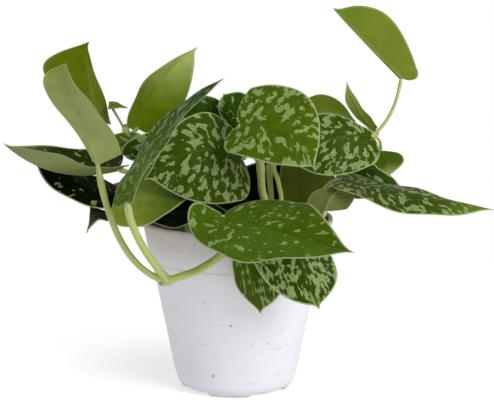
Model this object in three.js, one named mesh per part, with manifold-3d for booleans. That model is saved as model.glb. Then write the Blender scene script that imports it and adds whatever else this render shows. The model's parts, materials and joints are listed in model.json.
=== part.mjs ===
// Satin pothos (Scindapsus pictus) in its white 12 cm nursery pot.
// Millimetres, +Z up, origin at the centre of the pot's base, viewer on the -Y side.
//
// The pot is a thin lathed cup with drainage channels under its floor. Potting mix fills it,
// and each rooted vine stands in a plain hole in the mix. A vine is one body: its stem, its
// leaf stalks and its heart-shaped blades are joined, as they grow.

import * as THREE from 'three';
import { mergeVertices } from 'three/addons/utils/BufferGeometryUtils.js';
import Module from 'manifold-3d';

const wasm = await Module();
wasm.setup();

// ---------------------------------------------------------------- driving dimensions

const POT = {
  height: 107,
  baseRadius: 36.2, // outside, where the wall starts
  rimRadius: 60, // outside of the rolled rim
  wallSlope: 0.202, // outward lean of the wall, mm for each mm of height
  wall: 1.1,
  floorTop: 4.2,
  stepHeight: 81.5, // the wall steps out here, so that stacked pots don't jam
  stepOut: 0.8,
  // the rounded corner between floor and wall: outside and inside, as [inset from the wall, rise]
  outerCorner: [[3, 0], [2.2, 1.2], [0.9, 4.2], [0, 9]],
  innerCorner: [[0, 8.8], [0.6, 4.5], [2.6, 1.4], [4.8, 0]],
  frontFoot: THREE.MathUtils.degToRad(-97), // direction of the foot nearest the viewer
  channels: 4,
  channelHeight: 3,
  channelWidth: 26,
  channelInner: 14, // radius where the channels end, round the middle pad
  holeRadius: 4,
  holeCircle: 25,
  sides: 44,
};

const SOIL = {
  top: 92,
  gap: 0.3, // clearance to the pot and round each stem
  rootDepth: 26, // how deep a stem stands in the mix
  collar: 5, // a stem leaves the mix upright for this far
};

const LEAF = {
  thickness: 0.8,
  ribs: 9, // rows of faces from stalk to tip, each side of the midrib
  bands: 2, // faces from midrib to margin
  widest: 0.28, // share of the length where the blade is widest
  farAt: 0.72, // share of the length of the far points, and the outline's width there
  farWidth: 0.48,
  ribLag: 2.2, // how far the side veins sweep forward
  waves: 2.2, // waves of the margin along the blade
  waveHeight: 0.012, // share of the length
};

const STALK = { sides: 6, steps: 6 };
const STEM = { sides: 8, stepLength: 8 };

// ---------------------------------------------------------------- the plant, as lists of points

// Each leaf is laid out by five points on it: attach (where the stalk meets the blade), mid
// (middle of the midrib), tip, and the widest points of the left and the right margin. Left is
// the left hand of someone who looks from attach to tip with the upper face towards them.
// from and elbow guide its stalk, from the stem to attach. The rest are pairs, [left, right]:
// curl drops a margin, lobe scales how far a lobe of the heart reaches back past the stalk, lift
// raises it, and far gives the margin at 72% of the length, where the blade twists or folds.

const VINES = [
  {
    name: 'vine_front_trailing',
    stem: [[-2, -28], [-2, -42, 110], [-3, -58, 112], [-6, -69, 100], [-20, -73, 90],
      [-31, -75, 86], [-40, -75, 83]],
    stemRadius: 2.3,
    leaves: [
      { attach: [-62, -78, 130], mid: [-39, -72, 171], tip: [-6, -60, 200], left: [-59, -54, 153],
        right: [-46, -100, 157], from: [-39, -75, 83], elbow: [-60, -80, 109], stalk: 2.2,
        lobe: [0.15, 0], far: [[-29, -54, 187], [-23, -80, 186]] },
      { attach: [-80, -62, 149], mid: [-94, -66, 196], tip: [-93, -105, 212], left: [-75, -78, 179],
        right: [-101, -58, 178], from: [-40, -75, 83], elbow: [-70, -72, 90], stalk: 1.9,
        lobe: [0, 0], far: [[-89, -100, 201], [-107, -84, 204]] },
      { attach: [-7, -57, 118], mid: [31, -90, 113], tip: [66, -124, 110], left: [36, -66, 130.5],
        right: [-4.5, -107.3, 108], from: [-5, -65, 104], elbow: [-9, -61, 115], stalk: 1.5,
        curl: [3, 5], lobe: [0.3, 0.95], lift: [0, 20],
        far: [[52, -97.5, 122.5], [36, -118, 106]] },
    ],
  },
  {
    name: 'vine_front_hanging',
    stem: [[22, -34], [21, -38, 104], [20, -44, 109]],
    stemRadius: 1.9,
    leaves: [
      { attach: [9, -68, 106], mid: [9, -70, 86], tip: [15, -66, 61], left: [26, -66, 91],
        right: [-2, -64, 90], from: [20, -43, 108], elbow: [13, -58, 113], stalk: 1.2,
        far: [[25, -66, 71.5], [4.5, -64, 72]] },
      { attach: [33, -72, 109], mid: [39, -80, 92], tip: [49, -80, 67], left: [58, -74, 94],
        right: [11, -80, 94], from: [20, -43, 108], elbow: [30, -60, 113], stalk: 1.3,
        far: [[56, -77, 77.5], [32, -80, 73.2]] },
    ],
  },
  {
    name: 'vine_centre',
    stem: [[18, -12], [18, -12, 117], [16, -12, 126], [15, -14, 142]],
    stemRadius: 2.4,
    leaves: [
      { attach: [2, -38, 169], mid: [33, -50, 166], tip: [46, -62, 146], left: [33, -31, 191.5],
        right: [13, -54, 150.5], from: [15, -13, 138], elbow: [14, -26, 162], stalk: 1.5,
        lobe: [0.3, 0.38], far: [[49.5, -50, 169.5], [36, -60, 148]] },
      { attach: [4, -22, 146], mid: [-24, -34, 153], tip: [-55, -38, 136], left: [-13, -36, 121],
        right: [-20, -14, 174], from: [15, -14, 141], elbow: [9, -22, 155], stalk: 1.5,
        far: [[-38, -38, 129], [-42, -31, 159]] },
    ],
  },
  {
    name: 'vine_right_tall',
    stem: [[29, 2], [28, 1, 118], [26, 1, 129], [24, 3, 140], [39, 5, 148], [64, 4, 153],
      [85, 2, 158]],
    stemRadius: 1.5,
    leaves: [
      { attach: [102, 12, 192], mid: [80, 8, 214], tip: [59, 0, 236], left: [103, 5, 218],
        right: [96, 36, 207], from: [85, 2, 158], elbow: [99, 7, 169], stalk: 1, lobe: [0.5, 0.1],
        far: [[79, 0, 237], [74, 20, 225]] },
      { attach: [85, 4, 159], mid: [75, 2, 173], tip: [67.5, 0, 191], left: [83, 10, 168],
        right: [72, 0, 171], from: [82, 2, 157], elbow: [84, 3, 157], stalk: 1, lobe: [0, 0.2],
        far: [[73.8, 4, 180.5], [67, 0, 182]] },
      { attach: [83, -6, 158], mid: [57, -18, 158], tip: [30, -20, 146], left: [65, -24, 137],
        right: [61, -8, 172], from: [83, 2, 157], elbow: [85, -3, 159], stalk: 1.4,
        lobe: [0.75, 0.4], far: [[42, -22, 140], [40, -12, 165]] },
      { attach: [73, 30, 135], mid: [90, 32, 128], tip: [105, 32, 120], left: [88, 38, 134],
        right: [81, 22, 124], from: [62, 4, 153], elbow: [68, 20, 150], stalk: 1.4 },
      { attach: [90, 14, 146], mid: [94, 10, 140], tip: [95, 10, 130], left: [105, 16, 141],
        right: [86, 4, 138], from: [83, 2, 157], elbow: [91, 8, 156], stalk: 0.9,
        lobe: [0.3, 0.3] },
    ],
  },
  {
    name: 'vine_right_low',
    stem: [[36, -16], [43, -16, 107], [50, -14, 117], [52, -13, 121]],
    stemRadius: 2,
    leaves: [
      { attach: [64, -6, 131], mid: [110, -4, 121], tip: [160, 0, 111], left: [94, 20, 125.5],
        right: [85, -30, 120], from: [51, -14, 119], elbow: [54, -9, 130], stalk: 1.5,
        lobe: [0.3, 0.2], far: [[134, 6, 117], [130, -14, 110.2]] },
      { attach: [53.5, -30, 116], mid: [59, -24, 125], tip: [66.5, -14, 128.5],
        left: [72, -16, 121], right: [45, -26, 125], from: [49, -14, 115], elbow: [52, -24, 107],
        stalk: 1.5, lobe: [0.1, 0.3] },
    ],
  },
  {
    name: 'vine_left',
    stem: [[-30, -8], [-33, -12, 106], [-39, -14, 114], [-46, -14, 120]],
    stemRadius: 2,
    leaves: [
      { attach: [-72, -15, 139], mid: [-109, -18, 138.5], tip: [-140, -25, 157],
        left: [-90, -42, 147], right: [-92, 10, 148], from: [-42, -14, 117], elbow: [-58, -15, 137],
        stalk: 1.5, lobe: [0.7, 0.2], far: [[-118, -40, 155], [-122, -10, 153]] },
      { attach: [-70, -12, 121], mid: [-97, -15, 131], tip: [-124, -10, 143], left: [-89, -28, 119],
        right: [-90, 0, 133], from: [-39, -14, 113], elbow: [-54, -14, 122], stalk: 1.5,
        far: [[-115, -18, 131.5], [-110, -8, 139]] },
      { attach: [-71, -31, 123], mid: [-50, -33, 124], tip: [-27, -33, 124], left: [-52, -11, 140],
        right: [-58, -50, 110], from: [-38, -14, 112], elbow: [-57, -30, 119], stalk: 1.5 },
      { attach: [-26, -18, 114], mid: [-41, -22, 113], tip: [-60, -28, 114], left: [-38, -28, 105],
        right: [-38, -18, 124], from: [-33, -12, 106], elbow: [-26, -14, 112], stalk: 1 },
      { attach: [-76, -22, 113.5], mid: [-85, -24, 112.5], tip: [-91, -20, 100],
        left: [-81, -27, 110], right: [-89, -18, 116], from: [-38, -14, 111],
        elbow: [-58, -24, 119], stalk: 1, lobe: [0.3, 0.3],
        far: [[-86, -24, 107], [-89, -20, 109]] },
    ],
  },
  {
    name: 'vine_back_left',
    stem: [[-26, 22], [-36, 22, 110], [-50, 20, 125], [-64, 30, 141], [-69, 33, 150],
      [-70, 34, 156]],
    stemRadius: 2.2,
    leaves: [
      { attach: [-88, 36, 162], mid: [-92, 12, 196], tip: [-89, -5, 216], left: [-85, 40, 179],
        right: [-106, 22, 178], from: [-65, 30, 143], elbow: [-82, 36, 148], stalk: 0.9,
        lobe: [0, 0], far: [[-90, 5, 207], [-113, -10, 206]] },
      { attach: [-62, 26, 159], mid: [-47, 10, 189], tip: [-23, 5, 212], left: [-64, 25, 178],
        right: [-34, 15, 172], from: [-69, 33, 150], elbow: [-66, 32, 155], stalk: 1.4,
        lobe: [0.2, 0.2], far: [[-43.3, 12, 201], [-26, 5, 198]] },
      { attach: [-81, 43, 171.5], mid: [-76, 41, 172], tip: [-69, 38, 170], left: [-79, 48, 173],
        right: [-79, 36, 170], from: [-70, 34, 155], elbow: [-77, 38, 168], stalk: 0.8,
        lobe: [0.3, 0.3] },
      { attach: [-53, 5, 147], mid: [-64, 5, 151], tip: [-82, 9, 156], left: [-66, 0, 143],
        right: [-63, 8, 159], from: [-51, 20, 126], elbow: [-50, 10, 142], stalk: 1 },
      { attach: [-60, -3, 143], mid: [-53, -1, 153], tip: [-42, 3, 163], left: [-68, -3, 153],
        right: [-47, 1, 146], from: [-48, 20, 123], elbow: [-57, 2, 132], stalk: 1,
        lobe: [0.3, 0.3] },
    ],
  },
  {
    name: 'vine_back_centre',
    stem: [[23, 16], [22, 17, 117], [21, 19, 130], [21, 22, 146]],
    stemRadius: 1.9,
    leaves: [
      { attach: [38, 50, 154], mid: [56, 42, 166], tip: [77, 45, 160], left: [50, 45, 142],
        right: [46, 50, 175], from: [21, 21, 143], elbow: [28, 38, 154], stalk: 1.5,
        far: [[64, 45, 152], [66, 47, 173]] },
      { attach: [2, 15, 160], mid: [-16, 8, 171], tip: [-36, 5, 168], left: [-19, -2, 156],
        right: [-15, 15, 180], from: [21, 20, 136], elbow: [16, 20, 155], stalk: 1.5 },
      { attach: [6, -2, 162], mid: [-1, 1, 174], tip: [-8, 6, 183], left: [-10, -1, 171],
        right: [9, 11, 180], from: [21, 21, 140], elbow: [16, 6, 160], stalk: 1 },
      { attach: [39, 12, 106], mid: [38, 17, 134], tip: [38, 25, 158], left: [27, 13, 128],
        right: [62, 20, 131], from: [22, 18, 112], elbow: [32, 16, 108], stalk: 1.2,
        lobe: [0.2, 0.1] },
      { attach: [40, 24, 104], mid: [8, 27, 112], tip: [-26, 24, 116], left: [16, 20, 96],
        right: [24, 30, 137.5], from: [22, 18, 106], elbow: [34, 18, 100], stalk: 1,
        lobe: [0.2, 0.5] },
    ],
  },
  {
    name: 'vine_back',
    stem: [[0, 34], [0, 34, 110], [-2, 38, 130], [-4, 42, 142]],
    stemRadius: 2.2,
    leaves: [
      { attach: [-12, 46, 150], mid: [-28, 68, 158], tip: [-42, 92, 156], left: [-44, 52, 152],
        right: [-2, 84, 150], from: [-4, 41, 140], elbow: [-7, 44, 150], stalk: 1.5 },
      { attach: [26, 64, 149], mid: [41, 83, 155], tip: [53, 107, 151], left: [12, 91, 149],
        right: [61, 69, 147], from: [-3, 40, 134], elbow: [13, 50, 150], stalk: 1.5 },
      { attach: [-18, 52, 128], mid: [-34, 86, 132], tip: [-48, 120, 118], left: [-60, 72, 126],
        right: [0, 92, 122], from: [-1, 37, 124], elbow: [-10, 44, 134], stalk: 1.5 },
      { attach: [30, 54, 117], mid: [46, 88, 118], tip: [62, 120, 102], left: [12, 92, 111],
        right: [74, 74, 113], from: [-1, 36, 119], elbow: [14, 42, 127], stalk: 1.5 },
      { attach: [62, 48, 122], mid: [88, 68, 122], tip: [108, 90, 106], left: [64, 88, 116],
        right: [98, 42, 114], from: [0, 34, 112], elbow: [36, 38, 126], stalk: 1.5 },
      { attach: [-54, 40, 116], mid: [-76, 62, 118], tip: [-92, 84, 104], left: [-88, 36, 110],
        right: [-48, 78, 112], from: [0, 34, 108], elbow: [-30, 38, 122], stalk: 1.5 },
      { attach: [4, 71, 111], mid: [6, 86, 90], tip: [4, 90, 52], left: [-24, 86, 88],
        right: [34, 86, 88], from: [0, 34, 103], elbow: [4, 58, 126], stalk: 1.5 },
    ],
  },
];

// ---------------------------------------------------------------- solids

const vector = (point) => new THREE.Vector3(...point);

// A closed geometry as a solid that can be joined and cut.
function toSolid(geometry) {
  const bare = geometry.clone();
  bare.deleteAttribute('normal');
  bare.deleteAttribute('uv');
  const merged = mergeVertices(bare, 1e-4);
  return new wasm.Manifold(new wasm.Mesh({
    numProp: 3,
    vertProperties: new Float32Array(merged.attributes.position.array),
    triVerts: new Uint32Array(merged.index.array),
  }));
}

function toGeometry(solid) {
  const mesh = solid.getMesh();
  const geometry = new THREE.BufferGeometry();
  geometry.setAttribute('position', new THREE.BufferAttribute(new Float32Array(mesh.vertProperties), 3));
  geometry.setIndex(new THREE.BufferAttribute(new Uint32Array(mesh.triVerts), 1));
  geometry.computeVertexNormals();
  return geometry;
}

// A body of revolution about Z from [radius, height] points that start and end on the axis.
function turned(profile, sides) {
  const points = profile.map(([radius, height]) => new THREE.Vector2(radius, height));
  return new THREE.LatheGeometry(points, sides).rotateX(Math.PI / 2);
}

// A round bar along a curve, closed at both ends.
function bar(curve, radius, sides, steps) {
  const section = new THREE.Shape();
  for (let i = 0; i < sides; i += 1) {
    const angle = (2 * Math.PI * i) / sides;
    const point = [radius * Math.cos(angle), radius * Math.sin(angle)];
    if (i === 0) {
      section.moveTo(...point);
    } else {
      section.lineTo(...point);
    }
  }
  return new THREE.ExtrudeGeometry(section, { steps, extrudePath: curve, bevelEnabled: false });
}

// ---------------------------------------------------------------- pot

const wallRadius = (height) => POT.baseRadius + POT.wallSlope * height;

// The corner inside the pot, from the wall down to a floor, so far in from the wall's outside.
function innerCorner(floor, depth) {
  return POT.innerCorner.map(([inset, rise]) => [wallRadius(floor + rise) - depth - inset, floor + rise]);
}

function pot() {
  const step = POT.stepHeight;
  const out = POT.stepOut;
  const inside = (height) => wallRadius(height) - POT.wall;
  const rim = POT.rimRadius;
  const top = POT.height;
  const cup = toSolid(turned([
    [0, 0],
    ...POT.outerCorner.map(([inset, rise]) => [wallRadius(rise) - inset, rise]),
    [wallRadius(step), step],
    [wallRadius(step) + out, step + 0.8],
    [wallRadius(top - 4) + out - 0.3, top - 4],
    [rim - 1.2, top - 3.2],
    [rim, top - 2.2],
    [rim, top - 0.8],
    [rim - 0.8, top],
    [rim - 2.6, top],
    [inside(top - 1.6) + out, top - 1.6],
    [inside(step) + out, step + 0.8],
    [inside(step), step - 0.4],
    ...innerCorner(POT.floorTop, POT.wall),
    [0, POT.floorTop],
  ], POT.sides));

  const length = wallRadius(0) + 5 - POT.channelInner;
  let cuts = null;
  for (let i = 0; i < POT.channels; i += 1) {
    const turn = POT.frontFoot + (2 * Math.PI * (i + 0.5)) / POT.channels;
    const channel = new THREE.BoxGeometry(length, POT.channelWidth, 2 * POT.channelHeight);
    channel.translate(POT.channelInner + length / 2, 0, 0);
    channel.rotateZ(turn);
    const hole = new THREE.CylinderGeometry(POT.holeRadius, POT.holeRadius, 4 * POT.floorTop, 16);
    hole.rotateX(Math.PI / 2);
    hole.translate(POT.holeCircle * Math.cos(turn), POT.holeCircle * Math.sin(turn), 0);
    const cut = toSolid(channel).add(toSolid(hole));
    cuts = cuts ? cuts.add(cut) : cut;
  }
  return toGeometry(cup.subtract(cuts));
}

// ---------------------------------------------------------------- potting mix

function soil() {
  const side = (height) => wallRadius(height) - POT.wall - SOIL.gap;
  const floor = POT.floorTop + SOIL.gap;
  const step = POT.stepHeight;
  let mix = toSolid(turned([
    [0, floor],
    ...innerCorner(floor, POT.wall + SOIL.gap).reverse(),
    [side(step - 0.6), step - 0.6],
    [side(step + 0.8) + POT.stepOut - 0.1, step + 1],
    [side(SOIL.top - 1.5) + POT.stepOut - 0.1, SOIL.top - 1.5],
    [side(SOIL.top) - 12, SOIL.top],
    [0, SOIL.top],
  ], POT.sides));
  for (const vine of VINES) {
    const [x, y] = vine.stem[0];
    const radius = vine.stemRadius + SOIL.gap;
    const hole = new THREE.CylinderGeometry(radius, radius, 2 * SOIL.rootDepth + 2 * SOIL.gap, 16);
    hole.rotateX(Math.PI / 2);
    hole.translate(x, y, SOIL.top);
    mix = mix.subtract(toSolid(hole));
  }
  return toGeometry(mix);
}

// ---------------------------------------------------------------- leaf

// Half the outline of a blade of length 1, as Bezier curves: the lobe's back, the lobe's shoulder,
// the long side and the drawn-out tip. The stalk is at [0, 0], the tip at [1, 0].
const HALF_WIDTH = 0.4;
const OUTLINE_CURVES = [
  [[0, 0], [-0.05, 0.02], [-0.15, 0.07], [-0.145, 0.19]],
  [[-0.145, 0.19], [-0.14, 0.31], [0.02, HALF_WIDTH], [0.2, HALF_WIDTH]],
  [[0.2, HALF_WIDTH], [0.46, HALF_WIDTH], [0.72, 0.205], [0.89, 0.055]],
  [[0.89, 0.055], [0.935, 0.018], [0.965, 0.008], [1, 0]],
];
const OUTLINE = new THREE.CurvePath();
for (const curve of OUTLINE_CURVES) {
  OUTLINE.add(new THREE.CubicBezierCurve(...curve.map((point) => new THREE.Vector2(...point))));
}

// The midrib is the parabola through attach, mid and tip, at share x of the length.
function midrib(leaf, x) {
  const attach = vector(leaf.attach);
  const tip = vector(leaf.tip);
  const control = vector(leaf.mid).multiplyScalar(2).sub(attach.clone().add(tip).multiplyScalar(0.5));
  return attach.multiplyScalar((1 - x) ** 2)
    .addScaledVector(control, 2 * x * (1 - x))
    .addScaledVector(tip, x * x);
}

// A point of the blade's middle surface: u runs along the margin, v from midrib to margin.
function bladePoint(leaf, side, u, v) {
  const k = side === 'left' ? 0 : 1;
  const hand = side === 'left' ? 1 : -1;
  const edge = OUTLINE.getPoint(u);
  const half = edge.y / HALF_WIDTH;
  const reach = edge.x < 0 ? edge.x * (leaf.lobe?.[k] ?? 0.7) : edge.x;
  const root = u ** LEAF.ribLag;
  const x = root + (reach - root) * v ** 1.3;
  const across = vector(leaf[side]).sub(midrib(leaf, LEAF.widest));
  if (leaf.far) {
    const far = vector(leaf.far[k]).sub(midrib(leaf, LEAF.farAt)).divideScalar(LEAF.farWidth);
    const share = (x - LEAF.widest) / (LEAF.farAt - LEAF.widest);
    across.lerp(far, THREE.MathUtils.clamp(share, -0.6, 1.5));
  }
  const along = vector(leaf.tip).sub(vector(leaf.attach));
  const up = along.clone().cross(across).multiplyScalar(hand).normalize();
  const phase = 2 * Math.PI * (LEAF.waves * x + 0.15 * hand);
  const wave = LEAF.waveHeight * along.length() * Math.sin(phase) * v * v * Math.sin(Math.PI * u);
  const drop = (leaf.curl?.[k] ?? 0) * (half * v) ** 3;
  const behind = (Math.max(0.3 - x, 0) / 0.4) ** 2;
  const rise = (leaf.lift?.[k] ?? 0) * behind * v * v * Math.sqrt(half) * (1 - half);
  return midrib(leaf, x)
    .addScaledVector(across, half * v)
    .addScaledVector(up, wave - drop + rise);
}

// A blade of even thickness, both faces split into the same triangles.
function blade(leaf) {
  const points = [];
  const add = (point) => points.push(point) - 1;
  const attach = add(bladePoint(leaf, 'left', 0, 0));
  const tip = add(bladePoint(leaf, 'left', 1, 0));
  const rib = [];
  for (let i = 1; i < LEAF.ribs; i += 1) {
    rib.push(add(bladePoint(leaf, 'left', i / LEAF.ribs, 0)));
  }

  const faces = [];
  const margins = [];
  for (const side of ['left', 'right']) {
    // grid[i][j]: rib i from stalk to tip, band j from midrib to margin; both ends are one point
    const grid = [Array(LEAF.bands + 1).fill(attach)];
    for (let i = 1; i < LEAF.ribs; i += 1) {
      const row = [rib[i - 1]];
      for (let j = 1; j <= LEAF.bands; j += 1) {
        row.push(add(bladePoint(leaf, side, i / LEAF.ribs, j / LEAF.bands)));
      }
      grid.push(row);
    }
    grid.push(Array(LEAF.bands + 1).fill(tip));
    for (let i = 0; i < LEAF.ribs; i += 1) {
      for (let j = 0; j < LEAF.bands; j += 1) {
        const [a, b, c, d] = [grid[i][j], grid[i + 1][j], grid[i + 1][j + 1], grid[i][j + 1]];
        for (const face of [[a, b, c], [a, c, d]]) {
          const pointsUp = side === 'left' ? face : [face[0], face[2], face[1]];
          if (new Set(face).size === 3) faces.push(pointsUp);
        }
      }
    }
    const margin = grid.map((row) => row[LEAF.bands]);
    margins.push(side === 'left' ? margin : margin.reverse());
  }

  const normals = points.map(() => new THREE.Vector3());
  for (const face of faces) {
    const [a, b, c] = face.map((index) => points[index]);
    const normal = b.clone().sub(a).cross(c.clone().sub(a));
    for (const index of face) normals[index].add(normal);
  }
  const position = [];
  for (const half of [LEAF.thickness / 2, -LEAF.thickness / 2]) {
    points.forEach((point, i) => {
      position.push(...point.clone().addScaledVector(normals[i].normalize(), half).toArray());
    });
  }

  const under = points.length;
  const index = [];
  for (const [a, b, c] of faces) {
    index.push(a, b, c, under + a, under + c, under + b);
  }
  for (const margin of margins) {
    for (let i = 1; i < margin.length; i += 1) {
      const [a, b] = [margin[i - 1], margin[i]];
      index.push(a, b, under + b, a, under + b, under + a);
    }
  }
  const geometry = new THREE.BufferGeometry();
  geometry.setAttribute('position', new THREE.Float32BufferAttribute(position, 3));
  geometry.setIndex(index);
  return geometry;
}

// The stalk, from inside the stem to the notch of its blade.
function stalk(leaf) {
  const points = [leaf.from, leaf.elbow, leaf.attach].map(vector);
  return bar(new THREE.QuadraticBezierCurve3(...points), leaf.stalk, STALK.sides, STALK.steps);
}

// ---------------------------------------------------------------- vine

function vine(plan) {
  const [[x, y], ...rest] = plan.stem;
  const upright = [SOIL.top - SOIL.rootDepth, SOIL.top, SOIL.top + SOIL.collar].map((z) => [x, y, z]);
  const route = [...upright, ...rest].map(vector);
  const curve = new THREE.CatmullRomCurve3(route, false, 'catmullrom', 0.5);
  const steps = Math.round(curve.getLength() / STEM.stepLength);
  let body = toSolid(bar(curve, plan.stemRadius, STEM.sides, steps));
  for (const leaf of plan.leaves) {
    body = body.add(toSolid(stalk(leaf))).add(toSolid(blade(leaf)));
  }
  return toGeometry(body);
}

// ---------------------------------------------------------------- assembly

const PLASTIC = new THREE.MeshStandardMaterial({ color: 0xe2e2e8, roughness: 0.45, metalness: 0 });
const MIX = new THREE.MeshStandardMaterial({ color: 0x2a211a, roughness: 0.95, metalness: 0 });
const FOLIAGE = new THREE.MeshStandardMaterial({ color: 0x4c6a1c, roughness: 0.5, metalness: 0 });

function part(name, geometry, material) {
  const mesh = new THREE.Mesh(geometry, material.clone());
  mesh.name = name;
  return mesh;
}

const plant = new THREE.Group();
plant.add(part('pot', pot(), PLASTIC));
plant.add(part('potting_mix', soil(), MIX));
for (const plan of VINES) plant.add(part(plan.name, vine(plan), FOLIAGE));

export default plant;
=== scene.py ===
# %% [markdown]
# Satin pothos in a white nursery pot.
#
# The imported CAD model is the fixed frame: it says where the pot, the potting mix and the nine
# leafy vines are, and how large. This script dresses that frame. It replaces the plain pot, mix
# and vines with finer surfaces that keep their form, and gives each of them its finish.
# Every new surface is worked out with numpy as whole arrays of points, in millimetres, and
# turned to metres once, when it becomes a mesh.

# %% Load the frame
import json
import math

import bpy
import numpy as np
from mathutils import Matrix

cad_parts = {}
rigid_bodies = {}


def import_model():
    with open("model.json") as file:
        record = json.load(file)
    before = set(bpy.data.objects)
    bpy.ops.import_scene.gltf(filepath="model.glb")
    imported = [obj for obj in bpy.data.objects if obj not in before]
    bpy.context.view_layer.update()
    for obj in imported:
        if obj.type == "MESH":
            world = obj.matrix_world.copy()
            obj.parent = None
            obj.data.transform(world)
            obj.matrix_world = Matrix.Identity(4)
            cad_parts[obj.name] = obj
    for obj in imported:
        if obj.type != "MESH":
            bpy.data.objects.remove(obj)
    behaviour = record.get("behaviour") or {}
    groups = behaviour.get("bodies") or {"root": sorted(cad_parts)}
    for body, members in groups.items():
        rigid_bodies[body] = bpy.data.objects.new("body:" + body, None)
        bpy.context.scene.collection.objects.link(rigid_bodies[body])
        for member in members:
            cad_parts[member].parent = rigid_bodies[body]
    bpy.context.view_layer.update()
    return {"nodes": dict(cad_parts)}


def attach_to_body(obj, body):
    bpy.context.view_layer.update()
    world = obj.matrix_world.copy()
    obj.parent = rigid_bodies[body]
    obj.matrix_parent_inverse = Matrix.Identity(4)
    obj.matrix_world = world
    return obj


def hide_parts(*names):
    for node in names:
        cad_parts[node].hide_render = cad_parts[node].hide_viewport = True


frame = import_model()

print("nodes in the frame:", sorted(frame["nodes"]))

# %% [markdown]
# The camera stands a little over a metre from the plant, 20 cm above the rim, and looks ten
# degrees down. A long lens from a distance keeps the leaves in their true proportions. A
# wide lens close by would swell the front leaves, so it isn't used.

# %% Camera
CAMERA_PLACE = (0.0068, -1.081, 0.311)
CAMERA_TILT = 10.2  # degrees below the horizon
FRAME_WIDTH = 494  # pixels across the picture
FOCAL_PIXELS = 1774  # focal length measured in those pixels
SENSOR = 36.0
scene = bpy.context.scene


def show(name, data):
    """A new object in the scene that holds a camera, a light or a mesh."""
    made = bpy.data.objects.new(name, data)
    scene.collection.objects.link(made)
    return made


camera_data = bpy.data.cameras.new("camera")
camera_data.sensor_width = SENSOR
camera_data.lens = SENSOR * FOCAL_PIXELS / FRAME_WIDTH
camera = show("camera", camera_data)
camera.location = CAMERA_PLACE
camera.rotation_euler = (math.radians(90 - CAMERA_TILT), 0, 0)
scene.camera = camera
scene.view_settings.view_transform = "Standard"
print("lens:", round(camera_data.lens, 1), "mm")


# %% [markdown]
# Colours are written as sRGB hex, as a colour picker shows them. Cycles works with linear light,
# so one function turns the first into the second.

# %% Colours
def linear(code):
    """sRGB hex to linear: c / 12.92 in the darks, ((c + 0.055) / 1.055) ** 2.4 above."""
    c = np.array([int(code[i:i + 2], 16) for i in (0, 2, 4)]) / 255
    return np.where(c <= 0.04045, c / 12.92, ((c + 0.055) / 1.055) ** 2.4)


def rgba(code):
    """A hex colour as the four numbers that a colour socket takes."""
    return (*linear(code), 1.0)


WHITE = rgba("ffffff")
print("mid grey 808080 is", np.round(linear("808080"), 3), "in linear light")


# %% [markdown]
# Materials are small graphs of nodes. One helper adds a node, sets what it is given and links
# what it is given, so a graph reads from top to bottom like a recipe. It hands back the output
# that the next node needs. Inputs in a list are in the node's own order: a Map Range takes the
# value, the range that it comes from, and the range that it goes to, which is 0 to 1 if not said.
# A pattern on Object coordinates counts in metres, so its Scale is how many fit into one.

# %% Adding a node
def material(name):
    """A new material, its node tree and its surface shader."""
    made = bpy.data.materials.new(name)
    made.use_nodes = True
    print("material:", name)
    return made, made.node_tree, made.node_tree.nodes["Principled BSDF"]


def fill(tree, node, inputs):
    """Each input gets a value or a link; a list fills them in the node's own order."""
    for key, value in inputs.items() if isinstance(inputs, dict) else enumerate(inputs):
        if isinstance(value, bpy.types.NodeSocket):
            tree.links.new(value, node.inputs[key])
        else:
            node.inputs[key].default_value = value


def per_metre(size):
    """The Scale of a pattern whose features are size mm wide."""
    return 1000 / size


def add(tree, kind, inputs, give=None, **settings):
    """A new node's output: the one named give, or else the first that is in use.

    Settings are the node's own. A Mix node mixes colours here.
    """
    made = tree.nodes.new("ShaderNode" + kind)
    if kind == "Mix":
        made.data_type = "RGBA"
    for key, value in settings.items():
        setattr(made, key, value)
    fill(tree, made, inputs)
    return made.outputs[give] if give else next(o for o in made.outputs if o.enabled)


# %% [markdown]
# The studio is a white table in front of a white wall, as in a catalogue picture. The wall
# looks pure white, but only half its light reaches the plant: waxy leaves that mirror a bright
# room turn milky, and the hollows between them fill with light. One large soft light at the
# upper right and front gives the pot its brighter side and the leaves their form.

# %% Lights
ROOM_LIGHT = 0.46  # of the white that the camera sees
KEY = dict(place=(0.8, -0.9, 0.75), size=0.7, power=11.0)
TOP = dict(place=(-0.1, 0.2, 1.2), size=0.9, power=3.2)
AIM = (0, 0, 0.12)  # the middle of the plant

world = bpy.data.worlds.new("white studio")
world.use_nodes = True
tree = world.node_tree
seen = add(tree, "LightPath", {}, give="Is Camera Ray")
strength = add(tree, "MapRange", [seen, 0.0, 1.0, ROOM_LIGHT, 1.0])
fill(tree, tree.nodes["Background"], {"Color": WHITE, "Strength": strength})
scene.world = world

for name, light in (("key light", KEY), ("top light", TOP)):
    data = bpy.data.lights.new(name, "AREA")
    data.shape = "DISK"
    data.size = light["size"]
    data.energy = light["power"]
    lamp = show(name, data)
    lamp.location = light["place"]
    beam = np.array(AIM) - np.array(light["place"])
    lean = math.acos(-beam[2] / np.linalg.norm(beam))
    lamp.rotation_euler = (lean, 0, math.atan2(beam[1], beam[0]) - math.pi / 2)

# %% [markdown]
# The floor is a light table: a sheet of opal acrylic, lit a little from below, as studios use it
# to keep a white ground white. It only carries the soft shadow, and ends in front of the wall.

# %% Floor
FLOOR_GLOW = 0.40
FLOOR_SIDE, FLOOR_FRONT, FLOOR_BACK = 1, -1.2, 0.36  # metres from the pot's axis

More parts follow.
